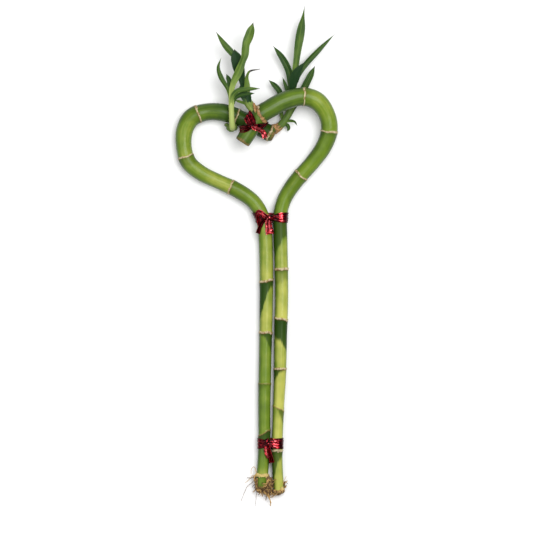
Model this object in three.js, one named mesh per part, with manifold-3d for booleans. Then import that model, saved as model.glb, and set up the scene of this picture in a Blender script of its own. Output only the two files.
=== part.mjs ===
// Heart-shaped lucky bamboo: two bent canes held by three red foil ties, with three
// leafy shoots at the top and bare roots at the foot. It lies on its back on a table,
// in millimetres, with the heart's top towards +Y and +Z up. The origin is on the flat
// underside of the middle tie, at the point of the heart.
import * as THREE from 'three';
import { LoftGeometry } from 'three/addons/geometries/LoftGeometry.js';
import { mergeVertices } from 'three/addons/utils/BufferGeometryUtils.js';
import Module from 'manifold-3d';

const wasm = await Module();
wasm.setup();

// ---- driving dimensions (mm) ---------------------------------------------------------

const SEAT_GAP = 0.3;                  // air between two pieces that touch
const FOIL = 0.6;                      // folded foil of the ties
const WRAP_GAP = 0.4;                  // air between a cane and the foil or sheath round it
const TIE_LIFT = WRAP_GAP + FOIL;      // height of a cane's underside over the table
const RING_HEIGHT = 0.6;               // how far a leaf-scar ring stands out of its cane
const BLADE = 0.7;                     // leaf thickness
const SHEATH = 0.6;                    // dry sheath thickness
const CANE_SIDES = 16;
const RING_SPACING = 30;               // most that two sections of a straight cane lie apart
const RING_TURN = THREE.MathUtils.degToRad(8);
const END_ROUND = 0.9;                 // rounding of a cut end

// Section of a leaf-scar ring: distance from the scar, share of RING_HEIGHT.
const SCAR_PROFILE = [[-3.3, 0], [-1.5, 0.4], [-0.6, 1], [0.6, 1], [1.5, 0.3], [3.3, 0]];
const SCAR_REACH = 3.3;

// A cane's axis from its foot to its tip: x, y, radius, height of its underside.
const LOOP_LIFT = RING_HEIGHT;         // lowest part of the left loop: its ring touches the table
const LEFT_CANE = {
  route: [
    [-9.6, -243, 5.2, TIE_LIFT], [-7.1, -205, 5.3, TIE_LIFT], [-6.9, -165, 5.6, TIE_LIFT],
    [-6.0, -120, 5.7, TIE_LIFT], [-5.2, -80, 6.0, TIE_LIFT], [-5.2, -40, 6.2, TIE_LIFT],
    [-6.4, -12, 6.2, TIE_LIFT], [-9.2, 3.6, 6.3, TIE_LIFT], [-16.5, 15.3, 6.5, TIE_LIFT],
    [-30, 25.2, 6.8, TIE_LIFT], [-48.6, 34, 6.6, LOOP_LIFT], [-64, 41.5, 6.9, LOOP_LIFT],
    [-75, 51, 7.2, LOOP_LIFT], [-79.3, 64, 7.1, LOOP_LIFT], [-78.7, 80, 7.6, LOOP_LIFT],
    [-72, 91.5, 8.2, LOOP_LIFT], [-58, 96.4, 7.7, LOOP_LIFT], [-43, 95.6, 7.9, TIE_LIFT],
    [-27, 89.8, 7.4, TIE_LIFT], [-11, 81.8, 7.3, TIE_LIFT], [2.2, 75.2, 7.4, TIE_LIFT],
  ],
  // Leaf-scar rings: x, y, tilt of the ring in degrees.
  scars: [
    [-7, -192.4], [-6.8, -148.1], [-5.1, -102.3], [-4.8, -55.4, -10],
    [-37.1, 28.8], [-77.5, 56.2], [-66.6, 94.9], [-31.7, 92.2], [-1.6, 77.2],
  ],
};
const CROSSING_LIFT = 16.3;            // underside of the right cane where it crosses the left one
const RIGHT_CANE = {
  route: [
    [6.5, -247.5, 4.6, TIE_LIFT], [5.0, -225, 4.8, TIE_LIFT], [4.7, -205, 4.8, TIE_LIFT],
    [5.8, -172, 5.0, TIE_LIFT], [7.2, -140, 5.5, TIE_LIFT], [7.8, -105, 5.8, TIE_LIFT],
    [8.7, -72, 5.9, TIE_LIFT], [8.4, -42, 6.0, TIE_LIFT], [7.6, -14, 6.2, TIE_LIFT],
    [7.6, 4.5, 6.3, TIE_LIFT], [11, 17.5, 6.5, TIE_LIFT], [20.2, 32.4, 6.8, 1.2],
    [36.5, 51.2, 6.9, 2.6], [46.5, 65.2, 7.3, 4.2], [51.5, 80, 7.5, 6],
    [49.3, 93.5, 7.5, 7.8], [40.5, 105.4, 8.3, 9.7], [28.2, 109.5, 8.1, 11.4],
    [11, 105.5, 8.3, 13.6], [-2.5, 98.2, 8.3, 15.2], [-9.4, 93.7, 8, 16.1],
    [-14.4, 86.9, 7.5, CROSSING_LIFT], [-26.8, 68.2, 7.0, CROSSING_LIFT],
  ],
  scars: [
    [4.0, -210.8], [5.2, -170.6, 25], [7.3, -134.6], [7.9, -90.0, 8], [8.6, -44.8],
    [26.4, 39.6], [51.6, 78.8], [28.1, 109.5], [-11.2, 92.4],
  ],
};

// Ties: the middle of the foil loop in plan, its heading in degrees under the lower cane and
// over the upper one, and its width. The top tie twists, because the canes cross there.
const TOP_TIE = { x: -18.2, y: 82.6, heading: [26, 2], width: 4.8 };
const MIDDLE_TIE = { x: 0, y: 1.2, heading: [0, 0], width: 7.6 };
const BASE_TIE = { x: -1.8, y: -201.9, heading: [0, 0], width: 3.4, strandOffset: 2.5 };

// Leafy shoots. Points are x, y, z along each stem or leaf from its root to its tip. A leaf's
// shape lists its share of full width at even steps from root to tip.
const LEAF_SHAPE = [0.5, 0.6, 0.78, 0.95, 1, 0.92, 0.66, 0.07];
const BROAD_TIP = [0.6, 0.7, 0.85, 0.97, 1, 0.95, 0.78, 0.07];
const LEFT_SHOOT = {
  stem: [[-34.4, 87, 9], [-35.2, 82.4, 12.5], [-35.6, 83, 17.5], [-36, 88, 20.2],
    [-36.4, 97, 20.6], [-36.6, 106, 20.3], [-36.3, 115, 20.6]],
  radii: [3.4, 3.1, 2.7, 2.5, 2.5, 2.3, 1.2],
  knob: { centre: [-36.6, 82.2, 10.6], radii: [4.9, 3.6, 5] },
  leaves: [
    { points: [[-36.6, 104, 20.5], [-39.4, 115.3, 22], [-45.7, 125.6, 23], [-48.3, 135, 22.8],
      [-45.5, 144.5, 21]], width: 5, shape: BROAD_TIP },
    { points: [[-36.2, 106, 21], [-36.2, 115.2, 24], [-33.9, 123.2, 25.4], [-30.2, 131.3, 26.4],
      [-27.2, 139.3, 27], [-24.8, 145.8, 27], [-24.1, 151.4, 26.8], [-23, 157.1, 26.6],
      [-20.3, 162.9, 26.2], [-18.9, 168.3, 25.6], [-16.8, 175.6, 25]],
    width: 9, shape: [0.5, 0.54, 0.66, 0.98, 0.86, 0.84, 0.92, 0.88, 1, 0.72, 0.06] },
    { points: [[-36.2, 108, 21], [-37.5, 121, 21], [-40.9, 129.5, 19.6]], width: 4.6 },
    { points: [[-36.8, 102, 21], [-35.5, 109, 24], [-30.8, 114, 26.4], [-22.6, 115.4, 27.2],
      [-11.2, 116, 26.6]], width: 4.6, shape: BROAD_TIP },
    { points: [[-36.2, 99, 20.6], [-32.4, 109, 22.6], [-25, 111.4, 24],
      [-15.8, 112, 24.2]], width: 4 },
  ],
};
const MIDDLE_SHOOT = {
  stem: [[-11.5, 95.5, 22.4], [-15.6, 97.6, 21.6], [-19.4, 101.4, 20], [-22.2, 106.4, 18.6],
    [-24.6, 112, 17.8], [-25.8, 119.6, 17.8]],
  radii: [3.8, 3.8, 3.5, 3.2, 3, 1.8],
  leaves: [
    { points: [[-19.4, 101, 20], [-23.6, 103.8, 18.6], [-28, 105, 17.4],
      [-33, 106.4, 16.4]], width: 4.2, shape: [1, 1, 0.85, 0.65, 0.5, 0.07] },
    { points: [[-23.6, 110, 18], [-22.7, 118, 19.4], [-23, 127, 21], [-20.4, 132.2, 21.6],
      [-10.6, 134.1, 21]], width: 5, twist: 40, shape: [1, 0.9, 0.75, 0.66, 0.5, 0.35, 0.1] },
    { points: [[-25, 113, 17.8], [-26.6, 122, 18.8], [-27.6, 134, 20.4], [-33, 144, 21.2],
      [-42.6, 156, 20.8], [-50.4, 167.8, 20]], width: 6.4, shape: BROAD_TIP },
    { points: [[-25.2, 114, 17.8], [-27.4, 126, 20], [-30.4, 137, 22], [-32.2, 145, 22.6],
      [-33.5, 151.6, 22.6]], width: 9.4, shape: BROAD_TIP },
  ],
};
const RIGHT_SHOOT = {
  stem: [[-0.5, 79.5, 8], [6.8, 83.6, 7], [11.2, 88.7, 6.4], [15.3, 95.9, 6],
    [17.1, 103.5, 5.8], [17.2, 111.6, 6.4], [17.5, 120, 8]],
  radii: [3.6, 3.4, 3.2, 3, 2.9, 2.6, 1.3],
  leaves: [
    { points: [[17, 108, 7], [17.2, 122, 9.4], [15.4, 133, 10.4], [9.8, 144, 10.8],
      [1.1, 155.4, 10]], width: 6.2 },
    { points: [[17.5, 110, 8], [20, 127, 11], [21.6, 140, 13], [23.6, 156, 13.8],
      [26.6, 174, 13], [29.5, 192, 12]],
    width: 7.8, shape: [0.6, 0.62, 0.64, 0.68, 0.78, 0.92, 1, 0.94, 0.66, 0.3, 0.07] },
    { points: [[17.5, 110, 6.6], [21.6, 126.4, 8.4], [28, 136.9, 9.4], [42, 152, 10],
      [56.7, 166.5, 9]], width: 5, shape: BROAD_TIP },
    { points: [[17.4, 110, 8], [18.4, 119, 11.6], [22, 130.6, 14.4], [29.1, 140.8, 14.6]],
      width: 8.2, shape: [0.7, 0.9, 1, 0.96, 0.8, 0.5, 0.07] },
    { points: [[14.4, 93, 6], [19.5, 101, 4.8], [24.5, 110, 4.6], [31, 122, 7],
      [38.8, 137.8, 8.6]], width: 6.2, shape: BROAD_TIP },
    { points: [[10.6, 88, 6], [8.3, 96, 4.4], [8.8, 106, 4.6], [6.4, 115.5, 7],
      [-3.1, 125.3, 8.6]], width: 4.8, shape: BROAD_TIP },
    { points: [[17, 104, 6.4], [14, 115, 7.4], [9.5, 127.5, 8.6]], width: 3.2 },
    { points: [[10.6, 87, 6.4], [15, 88.4, 7.8], [20.4, 88, 8.2], [22.9, 84.2, 7.6]], width: 2.6 },
    { points: [[8.6, 85, 6.6], [13.2, 85, 5.4], [15, 82.4, 4.8], [14, 79.1, 4.6]], width: 2.8 },
  ],
};
const STEM_SIDES = 10;

const BAND_SIDES = 20;
const BAND_STEPS = 6;
const TWIST_HEIGHTS = [7, 26];         // between these the top tie turns from one heading to the other

// Foil ribbons on the ties: points from the knot outwards, width at each point.
const PLEAT = 0.45;                    // depth of a fold in the foil
const TOP_FOIL = {
  knots: [{ centre: [-17.8, 82.4, 32.9], radii: [3.6, 2.6, 2.2] }],
  ribbons: [
    { points: [[-18.4, 82, 33.6], [-19.8, 87, 35], [-20.2, 92, 34.8], [-19.6, 97.4, 33]],
      widths: [5, 10, 8, 2.4], folds: 4 },
    { points: [[-18, 82.4, 33.4], [-13.6, 80.6, 33], [-9.2, 77.6, 31.6], [-6.4, 72, 29.4]],
      widths: [3, 2.2, 3.2, 4.4], folds: 2 },
  ],
};
const MIDDLE_FOIL = {
  knots: [{ centre: [-1.6, 0.6, 15.4], radii: [3.4, 3, 1.9] }],
  ribbons: [
    { points: [[-1.6, 1, 15.6], [-6.6, 4.6, 16.4], [-11.2, 6.4, 16.2], [-14, 4.4, 14.6]],
      widths: [3, 4.6, 4.6, 3], folds: 3 },
    { points: [[-2, 0.6, 15.8], [-7.4, -1.2, 15.6], [-10.4, -7, 14.8], [-12.4, -13.2, 13]],
      widths: [2.6, 3.4, 3.4, 3.8], folds: 2 },
    { points: [[-1.8, 0.4, 15.8], [-2.6, -3.2, 15.6], [-2.5, -8.4, 15], [-2.2, -13.6, 14.4]],
      widths: [2.8, 4, 6.6, 8], folds: 4 },
  ],
};
const BASE_FOIL = {
  knots: [{ centre: [-4.4, -201.6, 13.6], radii: [2.6, 4.4, 1.7] }],
  ribbons: [
    { points: [[-4.6, -200.8, 14], [-6, -206, 14.2], [-5, -211, 13.6], [-3.8, -215.2, 13]],
      widths: [1.8, 1.8, 1.6, 1.5], folds: 1 },
    { points: [[-3.6, -201.6, 14], [-2.8, -207.4, 14], [-1.6, -213, 13.2], [-0.2, -218.8, 12.6]],
      widths: [2.6, 3.2, 3.6, 4.4], folds: 3 },
  ],
};

// Dry sheaths. On the right cane: where it lies along the cane from the scar, and how far round.
const RIGHT_SHEATH = { places: [1.7, 0.6, -0.6, -1.7], ends: [-4.2, -2.7], from: -10, to: 118, steps: 14 };
const LEFT_SHEATH = { from: 0.12, to: 0.31, steps: 4, teeth: 1.6 };

// Roots: where the bark collar lies along the cane's foot (y), and the roots placed by hand.
const COLLAR = 0.55;                   // bark collar thickness
const SCALLOP = 0.8;                   // depth of the waves along the collar's edges
const ROOT_BEND = 0.28;                // how much the roots' headings differ
const ROOT_WANDER = 0.7;               // how far a root strays at each of its steps (mm)
const ROOT_FLOOR = 1.1;                // lowest axis of a loose root over the table (mm)
const LEFT_ROOTS = {
  collar: [-228.6, -233.4],
  placed: [
    [[-14, -230.5, 6], [-17.4, -231.4, 5.4], [-20.7, -234.9, 3.6], [-24.3, -238, 2]],
    [[-14, -232, 5], [-18, -237.6, 4.2], [-22.4, -241.4, 2.8], [-25.6, -248.6, 1.8], [-27.9, -254.7, 1.4]],
    [[-13.6, -229.6, 7], [-16.2, -223, 6.6], [-18.6, -225.4, 5.6], [-19, -230, 4.4]],
    [[-12.6, -232, 4], [-13.4, -239, 3], [-14.4, -252.9, 1.6], [-15, -260.1, 1.2]],
    [[-14.2, -229.4, 8], [-15.8, -233.1, 7.4], [-15.2, -238.6, 6], [-13.8, -244.4, 4.4]],
    [[-4.6, -231, 9], [-2.8, -236, 9.4], [-3.6, -247, 7], [-1.4, -254, 4], [-0.9, -259.2, 2]],
    [[-5, -231, 10], [-4.4, -238, 10.4], [-4.8, -246, 8], [-5.6, -253.6, 5]],
  ],
  mat: {
    count: 14, foot: [-4.4, -231.4, 6.5], spread: [3, 1.2, 4.5], reach: [11, 20],
    lean: [0.1, -1, -0.08],
  },
  girth: [0.95, 0.4],
  core: {
    points: [[-3.6, -231, 8.6], [-2.6, -237, 9], [-2.8, -243.5, 7], [-2.8, -250, 4.2]],
    girth: [1.4, 3.6, 3, 0.8],
  },
  seed: 11,
};
const RIGHT_ROOTS = {
  collar: [-240.6, -246.4],
  placed: [
    [[9.6, -241.6, 7.6], [10.4, -236.4, 8], [12.8, -231.6, 7]],
    [[9.8, -241.8, 6.6], [11.4, -236.2, 6.4], [14.2, -238.6, 5]],
    [[4.4, -245.8, 5], [2.6, -249.2, 4], [-1.6, -251.4, 2.6]],
  ],
  mat: {
    count: 6, foot: [5.4, -245.6, 5.6], spread: [3.4, 0.8, 3.4], reach: [2.5, 5],
    lean: [-0.6, -0.8, 0],
  },
  girth: [0.8, 0.35],
  core: {
    points: [[4, -245.6, 6], [6, -248, 5.4], [8.4, -246.4, 5.6]],
    girth: [1.6, 1.8, 1.2],
  },
  seed: 5,
};
const ROOT_SIDES = 4;
const LEAF_SECTIONS = 10;
const LEAF_FOLD = 0.32;                // rise of a leaf's edges over its midrib, per unit of half width

const COLOURS = {
  cane: 0x6f9440,
  leaf: 0x3f7a35,
  foil: 0xa3121f,
  root: 0x7a5a34,
  sheath: 0xb08a5a,
};

// ---- solids --------------------------------------------------------------------------

const UP = new THREE.Vector3(0, 0, 1);
const vectors = rows => rows.map(row => new THREE.Vector3(...row));
const lerp = THREE.MathUtils.lerp;

/** Value of an evenly spaced list at a share t of its length. */
function between(list, t) {
  const place = THREE.MathUtils.clamp(t, 0, 1) * (list.length - 1);
  const index = Math.min(Math.floor(place), list.length - 2);
  return lerp(list[index], list[index + 1], place - index);
}

/** Value of a list of [place, value] rows at a place, held constant past its ends. */
function along(rows, place) {
  const next = rows.findIndex(row => row[0] > place);
  if (next === 0) return rows[0][1];
  if (next < 0) return rows[rows.length - 1][1];
  const [low, high] = [rows[next - 1], rows[next]];
  return lerp(low[1], high[1], (place - low[0]) / (high[0] - low[0]));
}

/** Evenly spaced values from low to high, both included. */
function spread(low, high, steps) {
  return Array.from({ length: steps + 1 }, (_, index) => lerp(low, high, index / steps));
}

/** Seeded random numbers from 0 to 1, the same on every run. */
function seededRandom(seed) {
  let state = seed;
  return () => {
    state = (state * 1664525 + 1013904223) % 4294967296;
    return state / 4294967296;
  };
}

/** Closed skin through sections: capped at both ends, or joined into a loop. */
function loft(sections, loop = false) {
  return loop
    ? new LoftGeometry([...sections, sections[0]])
    : new LoftGeometry(sections, { capStart: true, capEnd: true });
}

/** A closed geometry as a solid: only its positions are kept, and shared corners are merged. */
function solid(geometry) {
  const bare = new THREE.BufferGeometry();
  bare.setAttribute('position', geometry.getAttribute('position'));
  bare.setIndex(geometry.getIndex());
  const merged = mergeVertices(bare, 1e-3);
  return new wasm.Manifold(new wasm.Mesh({
    numProp: 3,
    vertProperties: merged.attributes.position.array,
    triVerts: new Uint32Array(merged.index.array),
  }));
}

const fuse = geometries => geometries.map(solid).reduce((whole, piece) => whole.add(piece));

/** The largest connected body of a solid, without loose scraps. */
function largest(manifold) {
  const bodies = manifold.decompose();
  return bodies.reduce((best, body) => (body.volume() > best.volume() ? body : best));
}

function geometryOf(manifold) {
  const { vertProperties, triVerts } = manifold.getMesh();
  const geometry = new THREE.BufferGeometry();
  geometry.setAttribute('position', new THREE.BufferAttribute(vertProperties, 3));
  geometry.setIndex(new THREE.BufferAttribute(triVerts, 1));
  return geometry.toNonIndexed();
}

/** Round tapering tube along hand-placed points, grown by an extra thickness all round. */
function tube(points, radii, sides, steps, extra = 0) {
  const curve = new THREE.CatmullRomCurve3(vectors(points), false, 'centripetal');
  const frames = curve.computeFrenetFrames(steps, false);
  const pastEnds = share => extra * ((share === 1) - (share === 0));
  return loft(spread(0, 1, steps).map((share, index) => {
    const centre = curve.getPointAt(share)
      .addScaledVector(frames.tangents[index], pastEnds(share));
    const radius = between(radii, share) + extra;
    return spread(0, 2 * Math.PI, sides).slice(1).map(angle => centre.clone()
      .addScaledVector(frames.normals[index], radius * Math.cos(angle))
      .addScaledVector(frames.binormals[index], radius * Math.sin(angle)));
  }));
}

function ellipsoid({ centre, radii }, extra = 0) {
  const geometry = new THREE.SphereGeometry(1, 10, 6);
  geometry.scale(...radii.map(radius => radius + extra));
  return geometry.translate(...centre);
}

// ---- canes ---------------------------------------------------------------------------

/** One cane: a round rod along a bent axis, swollen at its leaf-scar rings. */
class Cane {
  constructor({ route, scars }) {
    const places = route.map(([x, y]) => new THREE.Vector3(x, y, 0));
    this.plan = new THREE.CatmullRomCurve3(places, false, 'centripetal');
    this.plan.arcLengthDivisions = 800;
    this.length = this.plan.getLength();
    this.girths = route.map(row => row[2]);
    this.lifts = route.map(row => row[3]);
    this.scars = scars.map(([x, y, tilt = 0]) => ({
      distance: this.nearest(x, y),
      lean: Math.tan(THREE.MathUtils.degToRad(tilt)),
    }));
  }

  share(distance) {
    return this.plan.getUtoTmapping(THREE.MathUtils.clamp(distance / this.length, 0, 1));
  }

  /** Distance along the cane of the axis point nearest to a place in plan. */
  nearest(x, y) {
    const away = distance => {
      const point = this.plan.getPoint(this.share(distance));
      return Math.hypot(point.x - x, point.y - y);
    };
    const tries = spread(0, this.length, 1600);
    return tries.reduce((best, distance) => (away(distance) < away(best) ? distance : best));
  }

  centre(distance) {
    const share = this.share(distance);
    const point = this.plan.getPoint(share);
    point.z = between(this.girths, share) + between(this.lifts, share);
    return point;
  }

  frame(distance) {
    const behind = this.centre(distance - 0.5);
    const tangent = this.centre(distance + 0.5).sub(behind).normalize();
    const side = UP.clone().cross(tangent).normalize();
    return { point: this.centre(distance), tangent, side, up: tangent.clone().cross(side) };
  }

  radius(distance) {
    const swelling = this.scars.map(scar => along(SCAR_PROFILE, distance - scar.distance));
    const girth = between(this.girths, this.share(distance));
    const end = Math.min(distance, this.length - distance);
    const rounding = END_ROUND * 0.6 * Math.max(0, 1 - end / END_ROUND);
    return girth + RING_HEIGHT * Math.max(...swelling) - rounding;
  }

  /** How far a section leans along the cane, per millimetre across it. */
  lean(distance) {
    const fades = this.scars.map(scar => {
      const away = Math.abs(distance - scar.distance);
      return scar.lean * THREE.MathUtils.clamp((SCAR_REACH - away) / 1.8, 0, 1);
    });
    return fades.reduce((sum, fade) => sum + fade, 0);
  }

  section(distance, extra) {
    const { point, tangent, side, up } = this.frame(distance);
    if (distance === 0) point.addScaledVector(tangent, -extra);
    if (distance === this.length) point.addScaledVector(tangent, extra);
    const radius = this.radius(distance) + extra;
    const lean = this.lean(distance);
    return spread(0, 2 * Math.PI, CANE_SIDES).slice(1).map(angle => point.clone()
      .addScaledVector(side, radius * Math.cos(angle))
      .addScaledVector(up, radius * Math.sin(angle))
      .addScaledVector(tangent, lean * radius * Math.cos(angle)));
  }

  /** Places of the sections: at each ring, and where the cane has turned or run far enough. */
  stations() {
    const marks = this.scars.flatMap(scar => SCAR_PROFILE.map(([offset]) => scar.distance + offset));
    const free = distance => marks.every(mark => Math.abs(mark - distance) > 1.5)
      && this.scars.every(scar => Math.abs(scar.distance - distance) > SCAR_REACH);
    const steps = [];
    let last = END_ROUND;
    let heading = this.frame(last).tangent;
    for (let distance = 4; distance < this.length - 3; distance += 1) {
      const { tangent } = this.frame(distance);
      const due = tangent.angleTo(heading) > RING_TURN || distance - last > RING_SPACING;
      if (!due || !free(distance)) continue;
      steps.push(distance);
      last = distance;
      heading = tangent;
    }
    const inside = marks.filter(mark => mark > 2 && mark < this.length - 2);
    const ends = [0, END_ROUND, this.length - END_ROUND, this.length];
    return [...inside, ...steps, ...ends].sort((a, b) => a - b);
  }

  geometry(extra = 0) {
    return loft(this.stations().map(distance => this.section(distance, extra)));
  }
}

const leftCane = new Cane(LEFT_CANE);
const rightCane = new Cane(RIGHT_CANE);
const caneSpace = solid(leftCane.geometry(SEAT_GAP)).add(solid(rightCane.geometry(SEAT_GAP)));

/** A solid cut back to clear both canes, in one piece. */
const clearOfCanes = manifold => largest(manifold.subtract(caneSpace));

// ---- leafy shoots --------------------------------------------------------------------

/** One leaf: a thin blade folded along its midrib, its face turned by twist degrees. */
function leaf({ points, width, twist = 0, shape = LEAF_SHAPE }, extra = 0) {
  const curve = new THREE.CatmullRomCurve3(vectors(points), false, 'centripetal');
  return loft(spread(0, 1, LEAF_SECTIONS).map(share => {
    const centre = curve.getPointAt(share);
    const tangent = curve.getTangentAt(share);
    const turn = THREE.MathUtils.degToRad(twist) * share;
    const side = UP.clone().cross(tangent).normalize().applyAxisAngle(tangent, turn);
    const face = tangent.clone().cross(side);
    const half = width / 2 * between(shape, share) + extra;
    const thick = BLADE / 2 * lerp(1, 0.75, share) + extra;
    const place = (across, height) => centre.clone()
      .addScaledVector(side, across)
      .addScaledVector(face, height);
    const rise = LEAF_FOLD * half;
    return [
      place(half, rise - thick), place(half, rise + thick), place(0, thick * 1.2),
      place(-half, rise + thick), place(-half, rise - thick), place(0, -thick * 1.2),
    ];
  }));
}

const stemOf = (shoot, extra = 0) => tube(shoot.stem, shoot.radii, STEM_SIDES, 12, extra);

/** A shoot with its stem, foot and leaves in one, grown by an extra thickness all round. */
function shootSolid(shoot, extra = 0) {
  const knobs = shoot.knob ? [ellipsoid(shoot.knob, extra)] : [];
  return fuse([stemOf(shoot, extra), ...knobs, ...shoot.leaves.map(blade => leaf(blade, extra))]);
}

const shootGeometry = shoot => geometryOf(clearOfCanes(shootSolid(shoot)));
const leftShootSpace = shootSolid(LEFT_SHOOT, SEAT_GAP);

// ---- foil ties -----------------------------------------------------------------------

/** Turns a point about a tie's upright axis by the tie's heading at that height, or back. */
function turned(point, { heading: [low, high] }, way) {
  const height = THREE.MathUtils.smoothstep(point.z, ...TWIST_HEIGHTS);
  return point.applyAxisAngle(UP, way * THREE.MathUtils.degToRad(lerp(low, high, height)));
}

/** Surface points of both canes near a tie: x along its loop, y across its width, z up. */
function surfaceNear(tie) {
  const middle = new THREE.Vector3(tie.x, tie.y, 0);
  return [leftCane, rightCane].flatMap(cane => {
    const near = cane.nearest(tie.x, tie.y);
    return spread(Math.max(0, near - 22), Math.min(cane.length, near + 22), 80)
      .flatMap(distance => cane.section(distance, 0));
  }).map(point => turned(point.sub(middle), tie, -1));
}

/** The tightest loop round points, an offset away: its sides face evenly spaced directions. */
function loopRound(points, offset, sides) {
  const facing = spread(0, 2 * Math.PI, sides).slice(1)
    .map(angle => ({ x: Math.cos(angle), z: Math.sin(angle) }));
  const farthest = ({ x, z }) => Math.max(...points.map(point => point.x * x + point.z * z));
  const reach = facing.map(side => farthest(side) + offset);
  return facing.map((side, index) => {
    const next = (index + 1) % sides;
    const cross = side.x * facing[next].z - side.z * facing[next].x;
    return {
      x: (reach[index] * facing[next].z - reach[next] * side.z) / cross,
      z: (reach[next] * side.x - reach[index] * facing[next].x) / cross,
    };
  });
}

/** Loops round both canes, side by side across a tie's width, an offset away from them. */
function loopsRound(tie, shift, offset, wider = 0) {
  const surface = surfaceNear(tie);
  const middle = new THREE.Vector3(tie.x, tie.y, 0);
  const half = tie.width / 2 + wider;
  const pitch = 2 * half / BAND_STEPS;
  return spread(half, -half, BAND_STEPS).map(place => {
    const across = place + shift;
    const local = surface.filter(point => Math.abs(point.y - across) <= pitch + 0.1);
    return loopRound(local, offset, BAND_SIDES)
      .map(({ x, z }) => turned(new THREE.Vector3(x, across, z), tie, 1).add(middle));
  });
}

/** A band of foil drawn tight round both canes. */
function band(tie, shift = 0) {
  const outer = loopsRound(tie, shift, WRAP_GAP + FOIL);
  const inner = loopsRound(tie, shift, WRAP_GAP).reverse();
  return loft([...outer, ...inner], true);
}

/** A pleated strip of foil from a knot outwards. */
function ribbon({ points, widths, folds }) {
  const curve = new THREE.CatmullRomCurve3(vectors(points), false, 'centripetal');
  return loft(spread(0, 1, 4).map(share => {
    const centre = curve.getPointAt(share);
    const tangent = curve.getTangentAt(share);
    const side = UP.clone().cross(tangent).normalize();
    const face = tangent.clone().cross(side);
    const half = between(widths, share) / 2;
    const row = (shares, lift) => shares.map((place, index) => centre.clone()
      .addScaledVector(side, half * place)
      .addScaledVector(face, lift + PLEAT * (index % 2 ? 1 : -1)));
    const places = spread(1, -1, 2 * folds);
    return [...row(places, FOIL / 2), ...row(places, -FOIL / 2).reverse()];
  }));
}

function tieGeometry(bands, { knots, ribbons }) {
  const trimmings = fuse([...knots.map(knot => ellipsoid(knot)), ...ribbons.map(ribbon)]);
  return geometryOf(clearOfCanes(trimmings.subtract(leftShootSpace)).add(fuse(bands)));
}

// ---- dry sheaths ---------------------------------------------------------------------

/** Papery remains of a leaf base, wrapped part way round the right cane with a torn edge. */
function rightSheath() {
  const { places, ends, from, to, steps } = RIGHT_SHEATH;
  const scar = rightCane.scars[rightCane.scars.length - 1].distance;
  return loft(spread(from, to, steps).map((degrees, index) => {
    const angle = THREE.MathUtils.degToRad(degrees);
    const place = (offset, height) => {
      const { point, side, up } = rightCane.frame(scar + offset);
      const radius = rightCane.radius(scar + offset) + height;
      return point.addScaledVector(side, radius * Math.cos(angle))
        .addScaledVector(up, radius * Math.sin(angle));
    };
    const offsets = [...places, ends[index % 2]];
    return [
      ...offsets.map(offset => place(offset, WRAP_GAP + SHEATH)),
      ...offsets.reverse().map(offset => place(offset, WRAP_GAP)),
    ];
  }));
}

/** Papery cup round the foot of the right shoot, with a toothed mouth. */
function leftSheath() {
  const { from, to, steps, teeth } = LEFT_SHEATH;
  const curve = new THREE.CatmullRomCurve3(vectors(RIGHT_SHOOT.stem), false, 'centripetal');
  const sides = 12;
  const frames = curve.computeFrenetFrames(40, false);
  const frame = share => {
    const index = Math.round(share * 40);
    return [frames.normals[index], frames.binormals[index]];
  };
  const ring = (share, height, tooth) => {
    const [normal, binormal] = frame(share);
    const tangent = curve.getTangentAt(share);
    const radius = between(RIGHT_SHOOT.radii, share) + WRAP_GAP + height;
    return spread(0, 2 * Math.PI, sides).slice(1).map((angle, index) => curve.getPointAt(share)
      .addScaledVector(normal, radius * Math.cos(angle))
      .addScaledVector(binormal, radius * Math.sin(angle))
      .addScaledVector(tangent, index % 2 ? tooth : 0));
  };
  const shares = spread(from, to, steps);
  const tooth = share => (share === to ? teeth : 0);
  const flare = share => 1.2 * Math.pow((to - share) / (to - from), 2);
  const outer = shares.map(share => ring(share, SHEATH + flare(share), tooth(share)));
  const inner = shares.map(share => ring(share, 0, tooth(share))).reverse();
  return loft([...outer, ...inner], true);
}

// ---- roots ---------------------------------------------------------------------------

/** Ring of bark round a cane's foot, scalloped along both edges. */
function collar(cane, [top, bottom]) {
  const [first, last] = [bottom, top].map(y => cane.nearest(cane.centre(0).x, y));
  const ring = (distance, height, scallop) => cane.section(distance, height)
    .map((point, index) => point.setY(point.y + (index % 2 ? scallop : 0)));
  const outer = WRAP_GAP + COLLAR;
  return loft([
    ring(first, outer, -SCALLOP), ring(last, outer, SCALLOP),
    ring(last, WRAP_GAP, SCALLOP), ring(first, WRAP_GAP, -SCALLOP),
  ], true);
}

/** Fine roots hanging from a foot in a loose bunch, bent a little at every step. */
function rootMat({ count, foot, spread: room, reach: lengths, lean }, random) {
  return Array.from({ length: count }, () => {
    const jitter = size => (random() - 0.5) * 2 * size;
    const start = foot.map((value, axis) => value + jitter(room[axis]));
    const length = lerp(lengths[0], lengths[1], random());
    const points = [start];
    const heading = lean.map(value => value + jitter(ROOT_BEND));
    for (let step = 1; step <= 4; step += 1) {
      const last = points[points.length - 1];
      const next = last.map((value, axis) => value + heading[axis] * length / 4 + jitter(ROOT_WANDER));
      next[2] = Math.max(next[2], ROOT_FLOOR);
      points.push(next);
    }
    return points;
  });
}

/** The threads of one cane's roots in one, grown by an extra thickness all round. */
function rootThreads({ seed, placed, mat, girth, core }, extra = 0) {
  const lines = [...placed, ...rootMat(mat, seededRandom(seed))];
  const threads = lines.map(points => tube(points, girth, ROOT_SIDES, 4, extra));
  return fuse([tube(core.points, core.girth, 8, 5, extra), ...threads]);
}

const rootsSolid = (cane, roots) => solid(collar(cane, roots.collar)).add(rootThreads(roots));

// ---- assembly ------------------------------------------------------------------------

const plant = new THREE.Group();

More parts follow.
